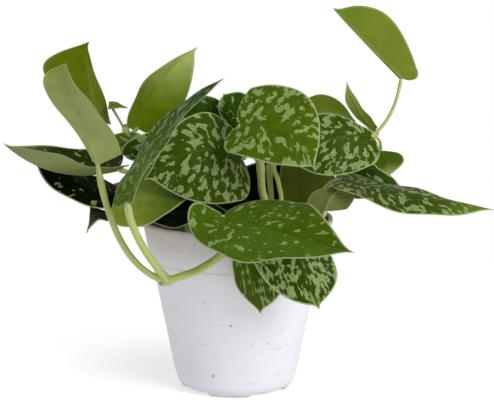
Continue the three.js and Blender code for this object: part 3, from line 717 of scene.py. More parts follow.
# %% The vines
VINES = {
    "vine_front_trailing": dict(radius=2.3, stem=[(-2, -28), (-2, -42, 110), (-3, -58, 112),
        (-6, -69, 100), (-20, -73, 90), (-31, -75, 86), (-40, -75, 83)], leaves=[
        dict(look="folded silver", attach=(-62, -78, 130), mid=(-39, -72, 171), tip=(-6, -60, 200),
             left=(-59, -54, 153), right=(-46, -100, 157), start=(-39, -75, 83), elbow=(-60, -80, 109),
             stalk=2.2, lobe=(0.15, 0), far=((-29, -54, 187), (-23, -80, 186))),
        dict(look="pale back", attach=(-80, -62, 149), mid=(-94, -66, 196), tip=(-93, -105, 212),
             left=(-75, -78, 179), right=(-101, -58, 178), start=(-40, -75, 83), elbow=(-70, -72, 90),
             stalk=1.9, lobe=(0, 0), far=((-89, -100, 201), (-107, -84, 204))),
        dict(look="glossy", attach=(-7, -57, 118), mid=(31, -90, 113), tip=(66, -124, 110),
             left=(36, -66, 130.5), right=(-4.5, -107.3, 108), start=(-5, -65, 104),
             elbow=(-9, -61, 115), curl=(3, 5), lobe=(0.3, 0.95), lift=(0, 20),
             far=((52, -97.5, 122.5), (36, -118, 106))),
    ]),
    "vine_front_hanging": dict(radius=1.9, stem=[(22, -34), (21, -38, 104), (20, -44, 109)], leaves=[
        dict(look="streaked", attach=(9, -68, 106), mid=(9, -70, 86), tip=(15, -66, 61),
             left=(26, -66, 91), right=(-2, -64, 90), start=(20, -43, 108), elbow=(13, -58, 113),
             stalk=1.2, far=((25, -66, 71.5), (4.5, -64, 72))),
        dict(look="frosted", attach=(33, -72, 109), mid=(39, -80, 92), tip=(49, -80, 67),
             left=(58, -74, 94), right=(11, -80, 94), start=(20, -43, 108), elbow=(30, -60, 113),
             stalk=1.3, far=((56, -77, 77.5), (32, -80, 73.2))),
    ]),
    "vine_centre": dict(radius=2.4, stem=[(18, -12), (18, -12, 117), (16, -12, 126),
        (15, -14, 142)], leaves=[
        dict(look="splashed", attach=(2, -38, 169), mid=(33, -50, 166), tip=(46, -62, 146),
             left=(33, -31, 191.5), right=(13, -54, 150.5), start=(15, -13, 138), elbow=(14, -26, 162),
             lobe=(0.3, 0.38), far=((49.5, -50, 169.5), (36, -60, 148))),
        dict(look="deep", attach=(4, -22, 146), mid=(-24, -34, 153), tip=(-55, -38, 136),
             left=(-13, -36, 121), right=(-20, -14, 174), start=(15, -14, 141), elbow=(9, -22, 155),
             far=((-38, -38, 129), (-42, -31, 159))),
    ]),
    "vine_right_tall": dict(radius=1.5, stem=[(29, 2), (28, 1, 118), (26, 1, 129),
        (24, 3, 140), (39, 5, 148), (64, 4, 153), (85, 2, 158)], leaves=[
        dict(look="plain back", attach=(102, 12, 192), mid=(80, 8, 214), tip=(59, 0, 236),
             left=(103, 5, 218), right=(96, 36, 207), start=(85, 2, 158), elbow=(99, 7, 169), stalk=1,
             lobe=(0.5, 0.1), far=((79, 0, 237), (74, 20, 225))),
        dict(look="young", attach=(85, 4, 159), mid=(75, 2, 173), tip=(67.5, 0, 191),
             left=(83, 10, 168), right=(72, 0, 171), start=(82, 2, 157), elbow=(84, 3, 157), stalk=1,
             lobe=(0, 0.2), far=((73.8, 4, 180.5), (67, 0, 182))),
        dict(look="deep", attach=(83, -6, 158), mid=(57, -18, 158), tip=(30, -20, 146),
             left=(65, -24, 137), right=(61, -8, 172), start=(83, 2, 157), elbow=(85, -3, 159),
             stalk=1.4, lobe=(0.75, 0.4), far=((42, -22, 140), (40, -12, 165))),
        dict(look="shaded", attach=(73, 30, 135), mid=(90, 32, 128), tip=(105, 32, 120),
             left=(88, 38, 134), right=(81, 22, 124), start=(62, 4, 153), elbow=(68, 20, 150), stalk=1.4),
        dict(look="rolled", attach=(90, 14, 146), mid=(94, 10, 140), tip=(95, 10, 130),
             left=(105, 16, 141), right=(86, 4, 138), start=(83, 2, 157), elbow=(91, 8, 156), stalk=0.9,
             lobe=(0.3, 0.3)),
    ]),
    "vine_right_low": dict(radius=2, stem=[(36, -16), (43, -16, 107), (50, -14, 117),
        (52, -13, 121)], leaves=[
        dict(look="long", attach=(64, -6, 131), mid=(110, -4, 121), tip=(160, 0, 111),
             left=(94, 20, 125.5), right=(85, -30, 120), start=(51, -14, 119), elbow=(54, -9, 130),
             lobe=(0.3, 0.2), far=((134, 6, 117), (130, -14, 110.2))),
        dict(look="grey back", attach=(53.5, -30, 116), mid=(59, -24, 125), tip=(66.5, -14, 128.5),
             left=(72, -16, 121), right=(45, -26, 125), start=(49, -14, 115), elbow=(52, -24, 107),
             lobe=(0.1, 0.3)),
    ]),
    "vine_left": dict(radius=2, stem=[(-30, -8), (-33, -12, 106), (-39, -14, 114),
        (-46, -14, 120)], leaves=[
        dict(look="rimmed", attach=(-72, -15, 139), mid=(-109, -18, 138.5), tip=(-140, -25, 157),
             left=(-90, -42, 147), right=(-92, 10, 148), start=(-42, -14, 117), elbow=(-58, -15, 137),
             lobe=(0.7, 0.2), far=((-118, -40, 155), (-122, -10, 153))),
        dict(look="night", attach=(-70, -12, 121), mid=(-97, -15, 131), tip=(-124, -10, 143),
             left=(-89, -28, 119), right=(-90, 0, 133), start=(-39, -14, 113), elbow=(-54, -14, 122),
             far=((-115, -18, 131.5), (-110, -8, 139))),
        dict(look="hollow", attach=(-71, -31, 123), mid=(-50, -33, 124), tip=(-27, -33, 124),
             left=(-52, -11, 140), right=(-58, -50, 110), start=(-38, -14, 112), elbow=(-57, -30, 119)),
        # painted shade: a near-black leaf that fills the shaded hollow at the front of the pot
        dict(look="dark", attach=(-26, -18, 114), mid=(-41, -22, 113), tip=(-60, -28, 114),
             left=(-38, -28, 105), right=(-38, -18, 124), start=(-33, -12, 106), elbow=(-26, -14, 112),
             stalk=1),
        dict(look="dry tip", attach=(-76, -22, 113.5), mid=(-85, -24, 112.5), tip=(-91, -20, 100),
             left=(-81, -27, 110), right=(-89, -18, 116), start=(-38, -14, 111), elbow=(-58, -24, 119),
             stalk=1, lobe=(0.3, 0.3), far=((-86, -24, 107), (-89, -20, 109))),
    ]),
    "vine_back_left": dict(radius=2.2, stem=[(-26, 22), (-36, 22, 110), (-50, 20, 125),
        (-64, 30, 141), (-69, 33, 150), (-70, 34, 156)], leaves=[
        dict(look="olive back", attach=(-88, 36, 162), mid=(-92, 12, 196), tip=(-89, -5, 216),
             left=(-85, 40, 179), right=(-106, 22, 178), start=(-65, 30, 143), elbow=(-82, 36, 148),
             stalk=0.9, lobe=(0, 0), far=((-90, 5, 207), (-113, -10, 206))),
        dict(look="glowing", attach=(-62, 26, 159), mid=(-47, 10, 189), tip=(-23, 5, 212),
             left=(-64, 25, 178), right=(-34, 15, 172), start=(-69, 33, 150), elbow=(-66, 32, 155),
             stalk=1.4, lobe=(0.2, 0.2), far=((-43.3, 12, 201), (-26, 5, 198))),
        dict(look="olive back", attach=(-81, 43, 171.5), mid=(-76, 41, 172), tip=(-69, 38, 170),
             left=(-79, 48, 173), right=(-79, 36, 170), start=(-70, 34, 155), elbow=(-77, 38, 168),
             stalk=0.8, lobe=(0.3, 0.3)),
        dict(look="dusty", attach=(-53, 5, 147), mid=(-64, 5, 151), tip=(-82, 9, 156),
             left=(-66, 0, 143), right=(-63, 8, 159), start=(-51, 20, 126), elbow=(-50, 10, 142),
             stalk=1),
        dict(look="shaded", attach=(-60, -3, 143), mid=(-53, -1, 153), tip=(-42, 3, 163),
             left=(-68, -3, 153), right=(-47, 1, 146), start=(-48, 20, 123), elbow=(-57, 2, 132),
             stalk=1, lobe=(0.3, 0.3)),
    ]),
    "vine_back_centre": dict(radius=1.9, stem=[(23, 16), (22, 17, 117), (21, 19, 130),
        (21, 22, 146)], leaves=[
        dict(look="plain", attach=(38, 50, 154), mid=(56, 42, 166), tip=(77, 45, 160),
             left=(50, 45, 142), right=(46, 50, 175), start=(21, 21, 143), elbow=(28, 38, 154),
             far=((64, 45, 152), (66, 47, 173))),
        dict(look="shaded", attach=(2, 15, 160), mid=(-16, 8, 171), tip=(-36, 5, 168),
             left=(-19, -2, 156), right=(-15, 15, 180), start=(21, 20, 136), elbow=(16, 20, 155)),
        dict(look="shaded", attach=(6, -2, 162), mid=(-1, 1, 174), tip=(-8, 6, 183),
             left=(-10, -1, 171), right=(9, 11, 180), start=(21, 21, 140), elbow=(16, 6, 160), stalk=1),
        dict(look="olive shade", attach=(39, 12, 106), mid=(38, 17, 134), tip=(38, 25, 158),
             left=(27, 13, 128), right=(62, 20, 131), start=(22, 18, 112), elbow=(32, 16, 108),
             stalk=1.2, lobe=(0.2, 0.1)),
        # painted shade: a near-black leaf that fills the shaded gap behind the stems
        dict(look="dark", attach=(40, 24, 104), mid=(8, 27, 112), tip=(-26, 24, 116), left=(16, 20, 96),
             right=(24, 30, 137.5), start=(22, 18, 106), elbow=(34, 18, 100), stalk=1, lobe=(0.2, 0.5)),
    ]),
    "vine_back": dict(radius=2.2, stem=[(0, 34), (0, 34, 110), (-2, 38, 130), (-4, 42, 142)], leaves=[
        dict(look="splashed", attach=(-12, 46, 150), mid=(-28, 68, 158), tip=(-42, 92, 156),
             left=(-44, 52, 152), right=(-2, 84, 150), start=(-4, 41, 140), elbow=(-7, 44, 150)),
        dict(look="splashed", attach=(26, 64, 149), mid=(41, 83, 155), tip=(53, 107, 151),
             left=(12, 91, 149), right=(61, 69, 147), start=(-3, 40, 134), elbow=(13, 50, 150)),
        dict(look="splashed", attach=(-18, 52, 128), mid=(-34, 86, 132), tip=(-48, 120, 118),
             left=(-60, 72, 126), right=(0, 92, 122), start=(-1, 37, 124), elbow=(-10, 44, 134)),
        dict(look="splashed", attach=(30, 54, 117), mid=(46, 88, 118), tip=(62, 120, 102),
             left=(12, 92, 111), right=(74, 74, 113), start=(-1, 36, 119), elbow=(14, 42, 127)),
        dict(look="splashed", attach=(62, 48, 122), mid=(88, 68, 122), tip=(108, 90, 106),
             left=(64, 88, 116), right=(98, 42, 114), start=(0, 34, 112), elbow=(36, 38, 126)),
        dict(look="splashed", attach=(-54, 40, 116), mid=(-76, 62, 118), tip=(-92, 84, 104),
             left=(-88, 36, 110), right=(-48, 78, 112), start=(0, 34, 108), elbow=(-30, 38, 122)),
        dict(look="splashed", attach=(4, 71, 111), mid=(6, 86, 90), tip=(4, 90, 52), left=(-24, 86, 88),
             right=(34, 86, 88), start=(0, 34, 103), elbow=(4, 58, 126)),
    ]),
}
print("vines:", len(VINES), "leaves:", sum(len(v["leaves"]) for v in VINES.values()))

# %% [markdown]
# How each leaf looks. The upper face of a satin pothos is deep green with silver splashes, where
# air under the skin scatters light. The share of silver differs from leaf to leaf, some young
# leaves have hardly any, and the backs are plain pale grey-green. A leaf against the light looks
# yellower, because light shines through it. A thin blade that lets light through would show
# that by itself, but only from one side, so here each leaf has its own two colours instead, and
# a third that both run into towards the tip, from a given share of the length on. Some of these
# colours are painted light and shade: near-black leaves paint the shade deep in the plant, darker
# copies paint leaves in shade, and on some leaves the tip colour paints a sheen, on one a glow.
# On three leaves the splashes are narrower or longer than usual.

# %% Looks of the leaves
LOOKS = {  # upper colour, back colour, share of silver, colour at the tip and where it begins
    "splashed": ("445c03", "8d9c6a", 0.50, "4f4a30", 0.97),
    "deep": ("334803", "8d9c6a", 0.49, "4f4a30", 0.97),
    # painted sheen: the long leaf's paler grey-green tip colour stands in for a soft highlight
    "long": ("334602", "8d9c6a", 0.52, "5b7222", 0.55),
    "glossy": ("435e02", "8d9c6a", 0.20, "4f4a30", 0.97),
    # partly painted reflection: besides its silver, the folded leaf's greyer green stands in for the
    # bright room mirrored at a grazing angle
    "folded silver": ("516d1f", "8d9c6a", 0.45, "244104", 0.05),
    "streaked": ("3b4e02", "8d9c6a", 0.48, "1f1c0c", 0.93),
    "frosted": ("2b3e02", "8d9c6a", 0.70, "5d6a38", 0.85),
    "dusty": ("42600f", "8d9c6a", 0.72, "4f4a30", 0.97),
    "shaded": ("274202", "3a4420", 0.30, "274202", 0.97),
    # painted shade: a near-black copy of the leaf colours for a leaf deep in the shade under another
    "night": ("061402", "101c06", 0.12, "061402", 0.97),
    "rimmed": ("1a3004", "727c46", 0.16, "6a7440", 0.50),
    # painted sheen: the paler colour towards the stalk stands in for a soft highlight
    "hollow": ("6f8028", "8d9c6a", 0.0, "3c5500", 0.10),
    "dry tip": ("22301a", "3a3a20", 0.0, "6b4a30", 0.45),
    "pale back": ("4a6d20", "8c965a", 0.0, "8a8f40", 0.40),
    "grey back": ("4a5a30", "5c6230", 0.0, "6e7842", 0.20),
    # painted glow and sheen: the pale tip colour stands in for light shining through the leaf and a soft
    # highlight
    "glowing": ("6c8802", "5b6e08", 0.0, "a2b060", 0.15),
    "plain": ("62800c", "66791a", 0.0, "4a5e04", 0.20),
    "young": ("62800c", "4d5e06", 0.0, "6f833a", 0.20),
    "plain back": ("708a18", "6c7c24", 0.0, "5f781a", 0.50),
    "olive back": ("667602", "667602", 0.0, "5c6c06", 0.80),
    "rolled": ("3e5202", "52611a", 0.0, "8a9a50", 0.45),
    "olive shade": ("5a681f", "5a681f", 0.0, "6a7830", 0.40),
    # painted shade: near-black leaves that fill the shaded hollows low in the plant
    "dark": ("060e02", "060e02", 0.0, "060e02", 0.97),
}
# how much closer the splashes lie along the margin and along the veins
SPLASH_STRETCH = {"streaked": (0.25, 2.4), "frosted": (0.9, 1.7), "glossy": (0.6, 1.2)}

used = {leaf["look"] for plan in VINES.values() for leaf in plan["leaves"]}
print("looks:", len(LOOKS), "all used:", used == set(LOOKS))

# %% [markdown]
# A blade is one surface over two parameters: u runs along the margin from the stalk round the
# lobe to the tip, and w runs across, from -1 at the right margin through 0 at the midrib to 1 at
# the left. Lines of equal u are the side veins. They leave the midrib close together near the
# stalk and fan out to the margin, as they do on the plant. That is why the surface is laid out
# like this and not as a flat heart that is bent: pattern, relief and colour can follow the veins.

# %% Outline of a blade
HALF_WIDTH, WIDEST = 0.4, 0.28  # of a blade of length 1, and where it is reached
FAR_AT, FAR_WIDTH = 0.72, 0.48  # where the far points lie, and the outline's half width there
OUTLINE_CURVES = np.array([
    [(0, 0), (-0.05, 0.02), (-0.15, 0.07), (-0.145, 0.19)],
    [(-0.145, 0.19), (-0.14, 0.31), (0.02, HALF_WIDTH), (0.2, HALF_WIDTH)],
    [(0.2, HALF_WIDTH), (0.46, HALF_WIDTH), (0.72, 0.205), (0.89, 0.055)],
    [(0.89, 0.055), (0.935, 0.018), (0.965, 0.008), (1, 0)]])


def outline(u):
    """Half the margin of a blade of length 1: four cubic curves, at equal shares of length."""
    t = np.linspace(0, 1, 60)[None, :, None]
    a, b, c, d = (OUTLINE_CURVES[:, i:i + 1] for i in range(4))
    curve = (1 - t) ** 3 * a + 3 * (1 - t) ** 2 * t * b + 3 * (1 - t) * t ** 2 * c + t ** 3 * d
    points = curve.reshape(-1, 2)
    along = lengths(points)
    share = along / along[-1]
    return np.stack([np.interp(u, share, points[:, i]) for i in (0, 1)], axis=-1)


MARGIN_LENGTH = lengths(outline(np.linspace(0, 1, 400)))[-1]
print("margin of a blade of length 1:", round(MARGIN_LENGTH, 3))

# %% [markdown]
# The middle surface of a blade: the midrib is a parabola through three of the leaf's points, and
# each half spreads from it towards its own margin point, with a slight wave along the edge.

# %% Middle of a blade
ROWS, BANDS = 72, 20
RIB_LAG, CROWDING, VEIN_BEND = 2.2, 1.35, 1.3
WAVES, WAVE_HEIGHT, WAVE_OFFSET = 2.2, 0.012, 0.15  # the height is a share of the blade's length

U = np.linspace(0, 1, ROWS + 1)[:, None]
W = np.linspace(-1, 1, 2 * BANDS + 1)[None, :]
W = np.sign(W) * np.abs(W) ** CROWDING  # closer together near the midrib
V, HAND, LEFT = np.abs(W), np.sign(W), W > 0
EDGE, EDGE_WIDTH = np.split(outline(U[:, 0]), 2, axis=1)
EDGE_WIDTH = EDGE_WIDTH / HALF_WIDTH


def midrib(leaf, x):
    """The parabola through attach, mid and tip, at share x of the length."""
    attach, mid, tip = (np.array(leaf[k], float) for k in ("attach", "mid", "tip"))
    return quadratic(attach, 2 * mid - (attach + tip) / 2, tip, np.asarray(x)[..., None])


def middle(leaf, size):
    """P = midrib(x) + spread across + up (wave - curl spread^3 + rise), with x and up.

    x runs from the vein's root to the margin, and spread from 0 to 1. across goes from the near
    point's to the far point's direction, and up is square to it and to the leaf's length.
    """
    lobe, curl, lift = (np.where(LEFT, *leaf.get(key, (plain, plain)))
                        for key, plain in (("lobe", 0.7), ("curl", 0), ("lift", 0)))
    root = U ** RIB_LAG
    x = root + (EDGE * np.where(EDGE < 0, lobe, 1) - root) * V ** VEIN_BEND
    spread = EDGE_WIDTH * V
    near = (np.array(leaf[side], float) - midrib(leaf, WIDEST) for side in ("left", "right"))
    across = np.where(LEFT[..., None], *near) + 0 * x[..., None]
    if "far" in leaf:
        far = (np.array(leaf["far"], float) - midrib(leaf, FAR_AT)) / FAR_WIDTH
        share = np.clip((x - WIDEST) / (FAR_AT - WIDEST), -0.6, 1.5)[..., None]
        across = across + share * (np.where(LEFT[..., None], *far) - across)
    up = np.cross(np.subtract(leaf["tip"], leaf["attach"]), across)
    up = unit(up) * np.where(LEFT, 1, -1)[..., None]
    up[:, BANDS] = unit(up[:, BANDS - 1] + up[:, BANDS + 1])
    wave = np.sin(2 * np.pi * (WAVES * x + WAVE_OFFSET * HAND)) * V ** 2 * np.sin(np.pi * U)
    behind = (np.maximum(0.3 - x, 0) / 0.4) ** 2
    rise = lift * behind * V ** 2 * np.sqrt(EDGE_WIDTH) * (1 - EDGE_WIDTH)
    surface = midrib(leaf, x) + spread[..., None] * across
    height = WAVE_HEIGHT * size * wave - curl * spread ** 3 + rise
    return surface + height[..., None] * up, x, up


print("grid of a blade:", U.size, "by", W.size, "points on each face")

# %% [markdown]
# The blade's relief: a groove over the midrib and a rounded rib under it, side veins that are
# sunk a little with the skin swelling softly between them, and a thickness of 0.7 mm beside the
# midrib that thins to 0.35 mm at the margin. The midrib is what carries the leaf, so it is
# thickest at the stalk and runs out at the tip.

# %% A blade
VEINS = 9  # pairs of side veins
THICK, THIN = 0.7, 0.35
SWELL, UNEVEN, UNEVEN_SIZE = 0.22, 0.35, 34
GROOVE, GROOVE_WIDTH = 0.12, 0.9
RIB, RIB_WIDTH = 0.85, 1.3
END_TAPER = 0.025  # share of the margin over which both ends thin to nothing


def blade(leaf, seed):
    """The upper face at P + n h and the back at P - n h, joined round the margin.

    P is the middle surface and n the cross product of the two slopes of its grid. The facts are
    grain, the place along the margin, from the midrib and in the vein pattern, marks, the
    distances from margin and midrib and the share of silver, and tint, the colour, which holds painted
    sheen on some leaves and painted shade on others.
    """
    size = np.linalg.norm(np.subtract(leaf["tip"], leaf["attach"]))
    surface, x, up = middle(leaf, size)
    slope_u, slope_w = np.gradient(surface, axis=0), np.gradient(surface, axis=1)
    normal = unit(np.cross(slope_u, slope_w) + 1e-4 * up)
    vein_length = np.linalg.norm(surface[:, [0, -1]] - surface[:, [BANDS]], axis=-1)
    vein_length = np.where(LEFT, vein_length[:, 1:], vein_length[:, :1])
    from_midrib, from_margin = V * vein_length, (1 - V) * vein_length

    phase = VEINS * U + 0.25 * V
    swell = np.sin(np.pi * phase) ** 2 * np.sin(np.pi * np.minimum(V * 1.15, 1))
    swell = SWELL * swell * np.sin(np.pi * U) ** 0.5
    swell = swell + UNEVEN * ripples(surface, UNEVEN_SIZE, seed) * V
    surface = surface + normal * swell[..., None]
    ends = np.sqrt(1 - (1 - np.minimum(np.minimum(U, 1 - U) / END_TAPER, 1)) ** 2)
    half = 0.5 * (THIN + (THICK - THIN) * (1 - V)) * ends
    run_out = (1 - np.clip(x, 0, 1)) ** 0.7 * ends
    groove = GROOVE * run_out * np.exp(-(from_midrib / GROOVE_WIDTH) ** 2)
    rib = RIB * run_out * np.exp(-(from_midrib / RIB_WIDTH) ** 2)
    top = surface + normal * (half - groove)[..., None]
    back = surface - normal * (half + rib)[..., None]
    rim = surface + unit(slope_w) * HAND[..., None] * half[..., None]
    grid = np.concatenate([top, rim[:, -1:], back[:, ::-1], rim[:, :1]], axis=1)

    upper, under, silver, tip_colour_and_sheen, tip_from = LOOKS[leaf["look"]]
    shift = np.random.default_rng(seed).uniform(-400, 400, 2)
    denser = SPLASH_STRETCH.get(leaf["look"], (1, 1))
    grain = np.stack([denser[0] * (U * MARGIN_LENGTH * size) + shift[0] + 0 * V,
                      denser[1] * from_midrib + shift[1] + 200 * HAND, phase], axis=-1)
    marks = np.stack([from_margin, from_midrib, silver + 0 * from_margin], axis=-1)
    # towards the tip the tint runs into the tip colour, which on some leaves is painted sheen
    to_tip = smoothstep(tip_from, 1.0, x + 0 * V)[..., None]
    tints = [(1 - to_tip) * linear(c) + to_tip * linear(tip_colour_and_sheen) for c in (upper, under)]

    def wrap(on_top, on_back):
        """A fact of the top and of the back, in the order of the grid's columns."""
        return np.concatenate([on_top, on_top[:, -1:], on_back[:, ::-1], on_back[:, :1]], axis=1)

    slots = np.where(np.arange(grid.shape[1]) < 2 * BANDS, 0, 1)
    return shell(grid, slots, ring=True, grain=wrap(grain, grain), marks=wrap(marks, marks),
                 tint=wrap(*tints))


sample = blade(VINES["vine_centre"]["leaves"][0], 1)["points"]
print("a centre leaf spans", np.ptp(sample, axis=0).round(), "mm")

# %% [markdown]
# Stalk and stem. A stalk starts inside the stem with a flared, sheathing foot and swells again
# just before the blade, where it can bend to turn the leaf to the light. The stem is thicker at
# each node, where a stalk leaves it, and ends in a small pointed bud.

# %% Stalks and stems
STALK = 1.5  # usual radius of a stalk
STALK_BROWN = [0, 0.1, 0.2, 1], [0.35, 0.1, 0, 0]  # share of its length, how brown
SOIL_COLLAR = 5.0  # how far a stem rises straight from the mix
STEM_COLOUR, STALK_COLOUR = linear("9fa858"), linear("a2aa62")
BACK_STEM_PAINTED_LIGHT = 1.5  # painted light: a stem that grows behind others, in their shade, is coloured this much paler
NODE_SWELL, NODE_LENGTH, NODE_BROWN = 0.14, 2.2, 0.45
BUD_BROWN = (0.15, 0.4, 0.75, 1, 1)  # from its root to its point


def stem_shell(rings, seed, brown, colour):
    """A tube as a shell, with its grain along and round it, how brown it is, and its colour."""
    points, path, angle = rings
    along, around = np.broadcast_arrays(lengths(path)[:, None], angle[None, :] * 2.0)
    grain = np.stack([along + seed * 31.0, around, 0 * around], axis=-1)
    marks = np.stack([brown[:, None] + 0 * around, 0 * around, 0 * around], axis=-1)
    tint = np.broadcast_to(colour, points.shape)
    return shell(points, 2, ring=True, grain=grain, marks=marks, tint=tint)


def stalk(leaf, seed):
    """A tube along the parabola start, elbow, attach, with a flared foot and a swollen neck."""
    start, elbow, attach = (np.array(leaf[k], float) for k in ("start", "elbow", "attach"))
    t = np.linspace(0, 1, 30)
    path = quadratic(start, elbow, attach, t[:, None])
    foot, neck = np.exp(-(t / 0.09) ** 2), np.exp(-((t - 0.9) / 0.06) ** 2)
    radius = leaf.get("stalk", STALK) * (1 + 0.3 * foot + 0.12 * neck)
    radius = radius * (1 - 0.35 * smoothstep(0.93, 1, t))
    rings = tube(path, radius, cap=(1.0, 0.6))
    brown = np.interp(np.linspace(0, 1, len(rings[1])), *STALK_BROWN)
    return stem_shell(rings, seed, brown, STALK_COLOUR)


def stem(plan, seed):
    """A tube along the stem's spline, thicker at each node, with a pointed bud at its end."""
    x, y = plan["stem"][0]
    upright = [(x, y, SOIL["top"] + rise) for rise in (-SOIL["reach"], 0, SOIL_COLLAR)]
    path = spline(upright + plan["stem"][1:], 9)
    along = lengths(path)
    starts = np.array([leaf["start"] for leaf in plan["leaves"]])
    nodes = np.linalg.norm(path[:, None] - starts, axis=-1).argmin(0)
    near = np.exp(-((along[:, None] - along[nodes]) / NODE_LENGTH) ** 2).max(1)
    rings = tube(path, plan["radius"] * (1 + NODE_SWELL * near), cap=(0.6, 1.8), sides=18)
    brown = np.interp(*(np.linspace(0, 1, len(line)) for line in (rings[1], path)),
                      NODE_BROWN * near)
    brown[-len(BUD_BROWN):] = BUD_BROWN
    # stems behind the others get painted light
    return stem_shell(rings, seed, brown, STEM_COLOUR * (BACK_STEM_PAINTED_LIGHT if y > 0 else 1.0))


print("longest stem:", max(lengths(spline(v["stem"][1:], 9))[-1] for v in VINES.values()).round(),
      "mm above the mix")

# %% [markdown]
# The three skins of the plant start alike: each reads the facts that its shell carries, and makes
# the tint uneven from cell to cell. Both skins of a leaf then end alike, with the colour of the
# midrib and of the thin pale edge laid over the rest.

# %% Skins of the plant
def skin_start(name):
    """The material with its tree and shader, and the grain, marks and tint of its shells."""
    made, tree, surface = material(name)
    facts = [add(tree, "Attribute", {}, give="Vector", attribute_name=fact)
             for fact in ("grain", "marks", "tint")]
    marks = add(tree, "SeparateXYZ", [facts[1]]).node.outputs
    return made, tree, surface, facts[0], marks, facts[2]


def mottled(tree, tint, noise, darkest, lightest):
    """The tint times a factor that follows the noise."""
    factor = add(tree, "MapRange", [noise, 0.3, 0.7, darkest, lightest])
    return add(tree, "VectorMath", {0: tint, "Scale": factor}, operation="SCALE")


def banded(tree, colour, *bands):
    """The colour with bands over it, such as the pale line along a margin.

    Each band has a distance, where it starts, where it is full, its strength there and its tone.
    """
    for distance, start, full, strength, tone in bands:
        band = add(tree, "MapRange", [distance, start, full, 0.0, strength])
        colour = add(tree, "Mix", {"Factor": band, "A": colour, "B": rgba(tone)})
    return colour


# %% [markdown]
# The upper skin. Its green is uneven from cell to cell. The silver splashes are air-filled
# patches 3 to 7 mm long, stretched along the side veins and ragged at the edge, so they are a
# noise that reads the vein coordinates and is cut off sharply at a level that gives each leaf
# its share of silver. A finer noise frays the cut. The surface is a satin wax: a soft, broad
# gleam, a little duller on the silver.

# %% Upper skin
SPLASH_SIZE, FRAY_SIZE = (4.6, 5.8), (1.5, 2.0)  # mm along the margin and along the veins
FEWEST_AT, MOST_AT = 1.0, 7.0  # mm from the midrib: splashes are fewer close to it
SHARE_TO_LEVEL = (-0.42, 1.26)  # the noise's cut level is the first times the share, plus the second
SILVER, EDGE_GREEN = "95a66c", "9db07a"

upper_skin, tree, surface, grain, marks, tint = skin_start("satin leaf skin, upper")
place = add(tree, "TexCoord", {}, give="Object")
cells = add(tree, "TexNoise", {"Vector": place, "Scale": per_metre(6.25), "Detail": 4.0})
green = mottled(tree, tint, cells, 0.84, 1.12)

noises = []
for size, detail in ((SPLASH_SIZE, 1.0), (FRAY_SIZE, 2.0)):
    scaled = add(tree, "Mapping", {"Vector": grain, "Scale": (1 / size[0], 1 / size[1], 0.0)})
    noises.append(add(tree, "TexNoise", {"Vector": scaled, "Scale": 1.0, "Detail": detail},
                      noise_dimensions="2D"))
streaks, fray = noises
patches = add(tree, "TexNoise", {"Vector": place, "Scale": per_metre(4.35), "Detail": 0.6})
splash = add(tree, "Math", [patches, 0.7, streaks], operation="MULTIPLY_ADD")
splash = add(tree, "Math", [fray, 0.3, splash], operation="MULTIPLY_ADD")
bare = add(tree, "MapRange", [marks[1], FEWEST_AT, MOST_AT, 0.1, 0.0])
splash = add(tree, "Math", [splash, bare], operation="SUBTRACT")
level = add(tree, "Math", [marks[2], *SHARE_TO_LEVEL], operation="MULTIPLY_ADD")
above = add(tree, "Math", [splash, level], operation="SUBTRACT")
share = add(tree, "MapRange", [above, -0.02, 0.05])
has_silver = add(tree, "Math", [marks[2], 0.05], operation="GREATER_THAN")
off_midrib = add(tree, "MapRange", [marks[1], 0.4, 1.8])
dusting = add(tree, "MapRange", [fray, 0.3, 0.7, 0.55])
for factor in (has_silver, off_midrib, dusting):
    share = add(tree, "Math", [share, factor], operation="MULTIPLY")

silver = add(tree, "Mix", {"Factor": 0.2, "A": rgba(SILVER), "B": green})
painted = add(tree, "Mix", {"Factor": share, "A": green, "B": silver})
colour = banded(tree, painted, (marks[1], 0.7, 0.25, 0.08, "6f8f3c"),
                (marks[0], 0.9, 0.4, 0.8, EDGE_GREEN))
dull = add(tree, "MapRange", [share, 0.0, 1.0, 0.45, 0.6])
pebble = add(tree, "TexNoise", {"Vector": place, "Scale": per_metre(1.11), "Detail": 2.0})
bump = add(tree, "Bump", {"Height": pebble, "Strength": 0.12, "Distance": 0.3 * MM})
fill(tree, surface, {"Base Color": colour, "Roughness": dull, "Normal": bump,
                     "Specular IOR Level": 0.04})

# %% [markdown]
# The back of a leaf has no silver. It is paler, a little chalky, and its veins show as fine
# lines.

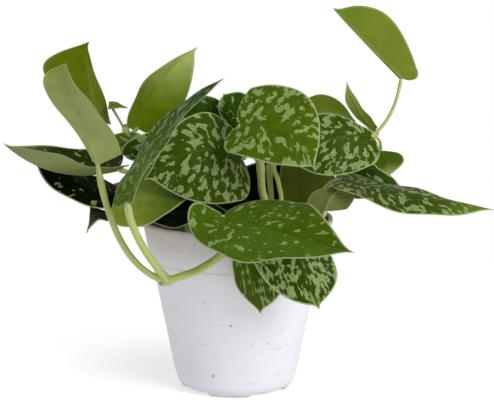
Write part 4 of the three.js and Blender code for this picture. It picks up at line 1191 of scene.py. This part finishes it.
# %% Back of the leaf
back_skin, tree, surface, grain, marks, tint = skin_start("satin leaf skin, back")
place = add(tree, "TexCoord", {}, give="Object")
cells = add(tree, "TexNoise", {"Vector": place, "Scale": per_metre(9.09), "Detail": 4.0})
green = mottled(tree, tint, cells, 0.93, 1.06)
phase = add(tree, "SeparateXYZ", [grain], give="Z")
to_vein = add(tree, "Math", [phase, 0.5], operation="PINGPONG")  # in vein spacings
colour = banded(tree, green, (to_vein, 0.06, 0.0, 0.07, "5c6e34"),
                (marks[1], 1.4, 0.5, 0.12, "a3ad74"), (marks[0], 0.7, 0.3, 0.4, EDGE_GREEN))
pebble = add(tree, "TexNoise", {"Vector": place, "Scale": per_metre(0.909), "Detail": 2.0})
bump = add(tree, "Bump", {"Height": pebble, "Strength": 0.15, "Distance": 0.3 * MM})
fill(tree, surface, {"Base Color": colour, "Roughness": 0.55, "Normal": bump,
                     "Specular IOR Level": 0.08})

# %% [markdown]
# Young stems and stalks are smooth and pale yellow-green, with faint lengthwise streaks. Old leaf
# scars at the nodes are brown and corky.

# %% Stem skin
FIBRE = (9, 0.6)  # mm along the stem and round it

stem_skin, tree, surface, grain, marks, tint = skin_start("young vine stem")
fibres = add(tree, "Mapping", {"Vector": grain, "Scale": (1 / FIBRE[0], 1 / FIBRE[1], 0.0)})
streak = add(tree, "TexNoise", {"Vector": fibres, "Scale": 1.0, "Detail": 3.0})
green = mottled(tree, tint, streak, 0.82, 1.18)
corky = add(tree, "Mix", {"Factor": marks[0], "A": green, "B": rgba("5f4426")})
bump = add(tree, "Bump", {"Height": streak, "Strength": 0.2, "Distance": 0.5 * MM})
fill(tree, surface, {"Base Color": corky, "Roughness": 0.45, "Normal": bump})

# %% [markdown]
# Each vine is put together from its stem, its stalks and its blades, as one piece that stands
# for the CAD vine.

# %% Grow the vines
seed = 100
for node, plan in VINES.items():
    grown = [stem(plan, seed)]
    for leaf in plan["leaves"]:
        seed += 1
        grown += [stalk(leaf, seed), blade(leaf, seed)]
    name = node.replace("vine_", "") + "_vine"
    put(name, to_mesh(name, grown, [upper_skin, back_skin, stem_skin]), "foliage", node)
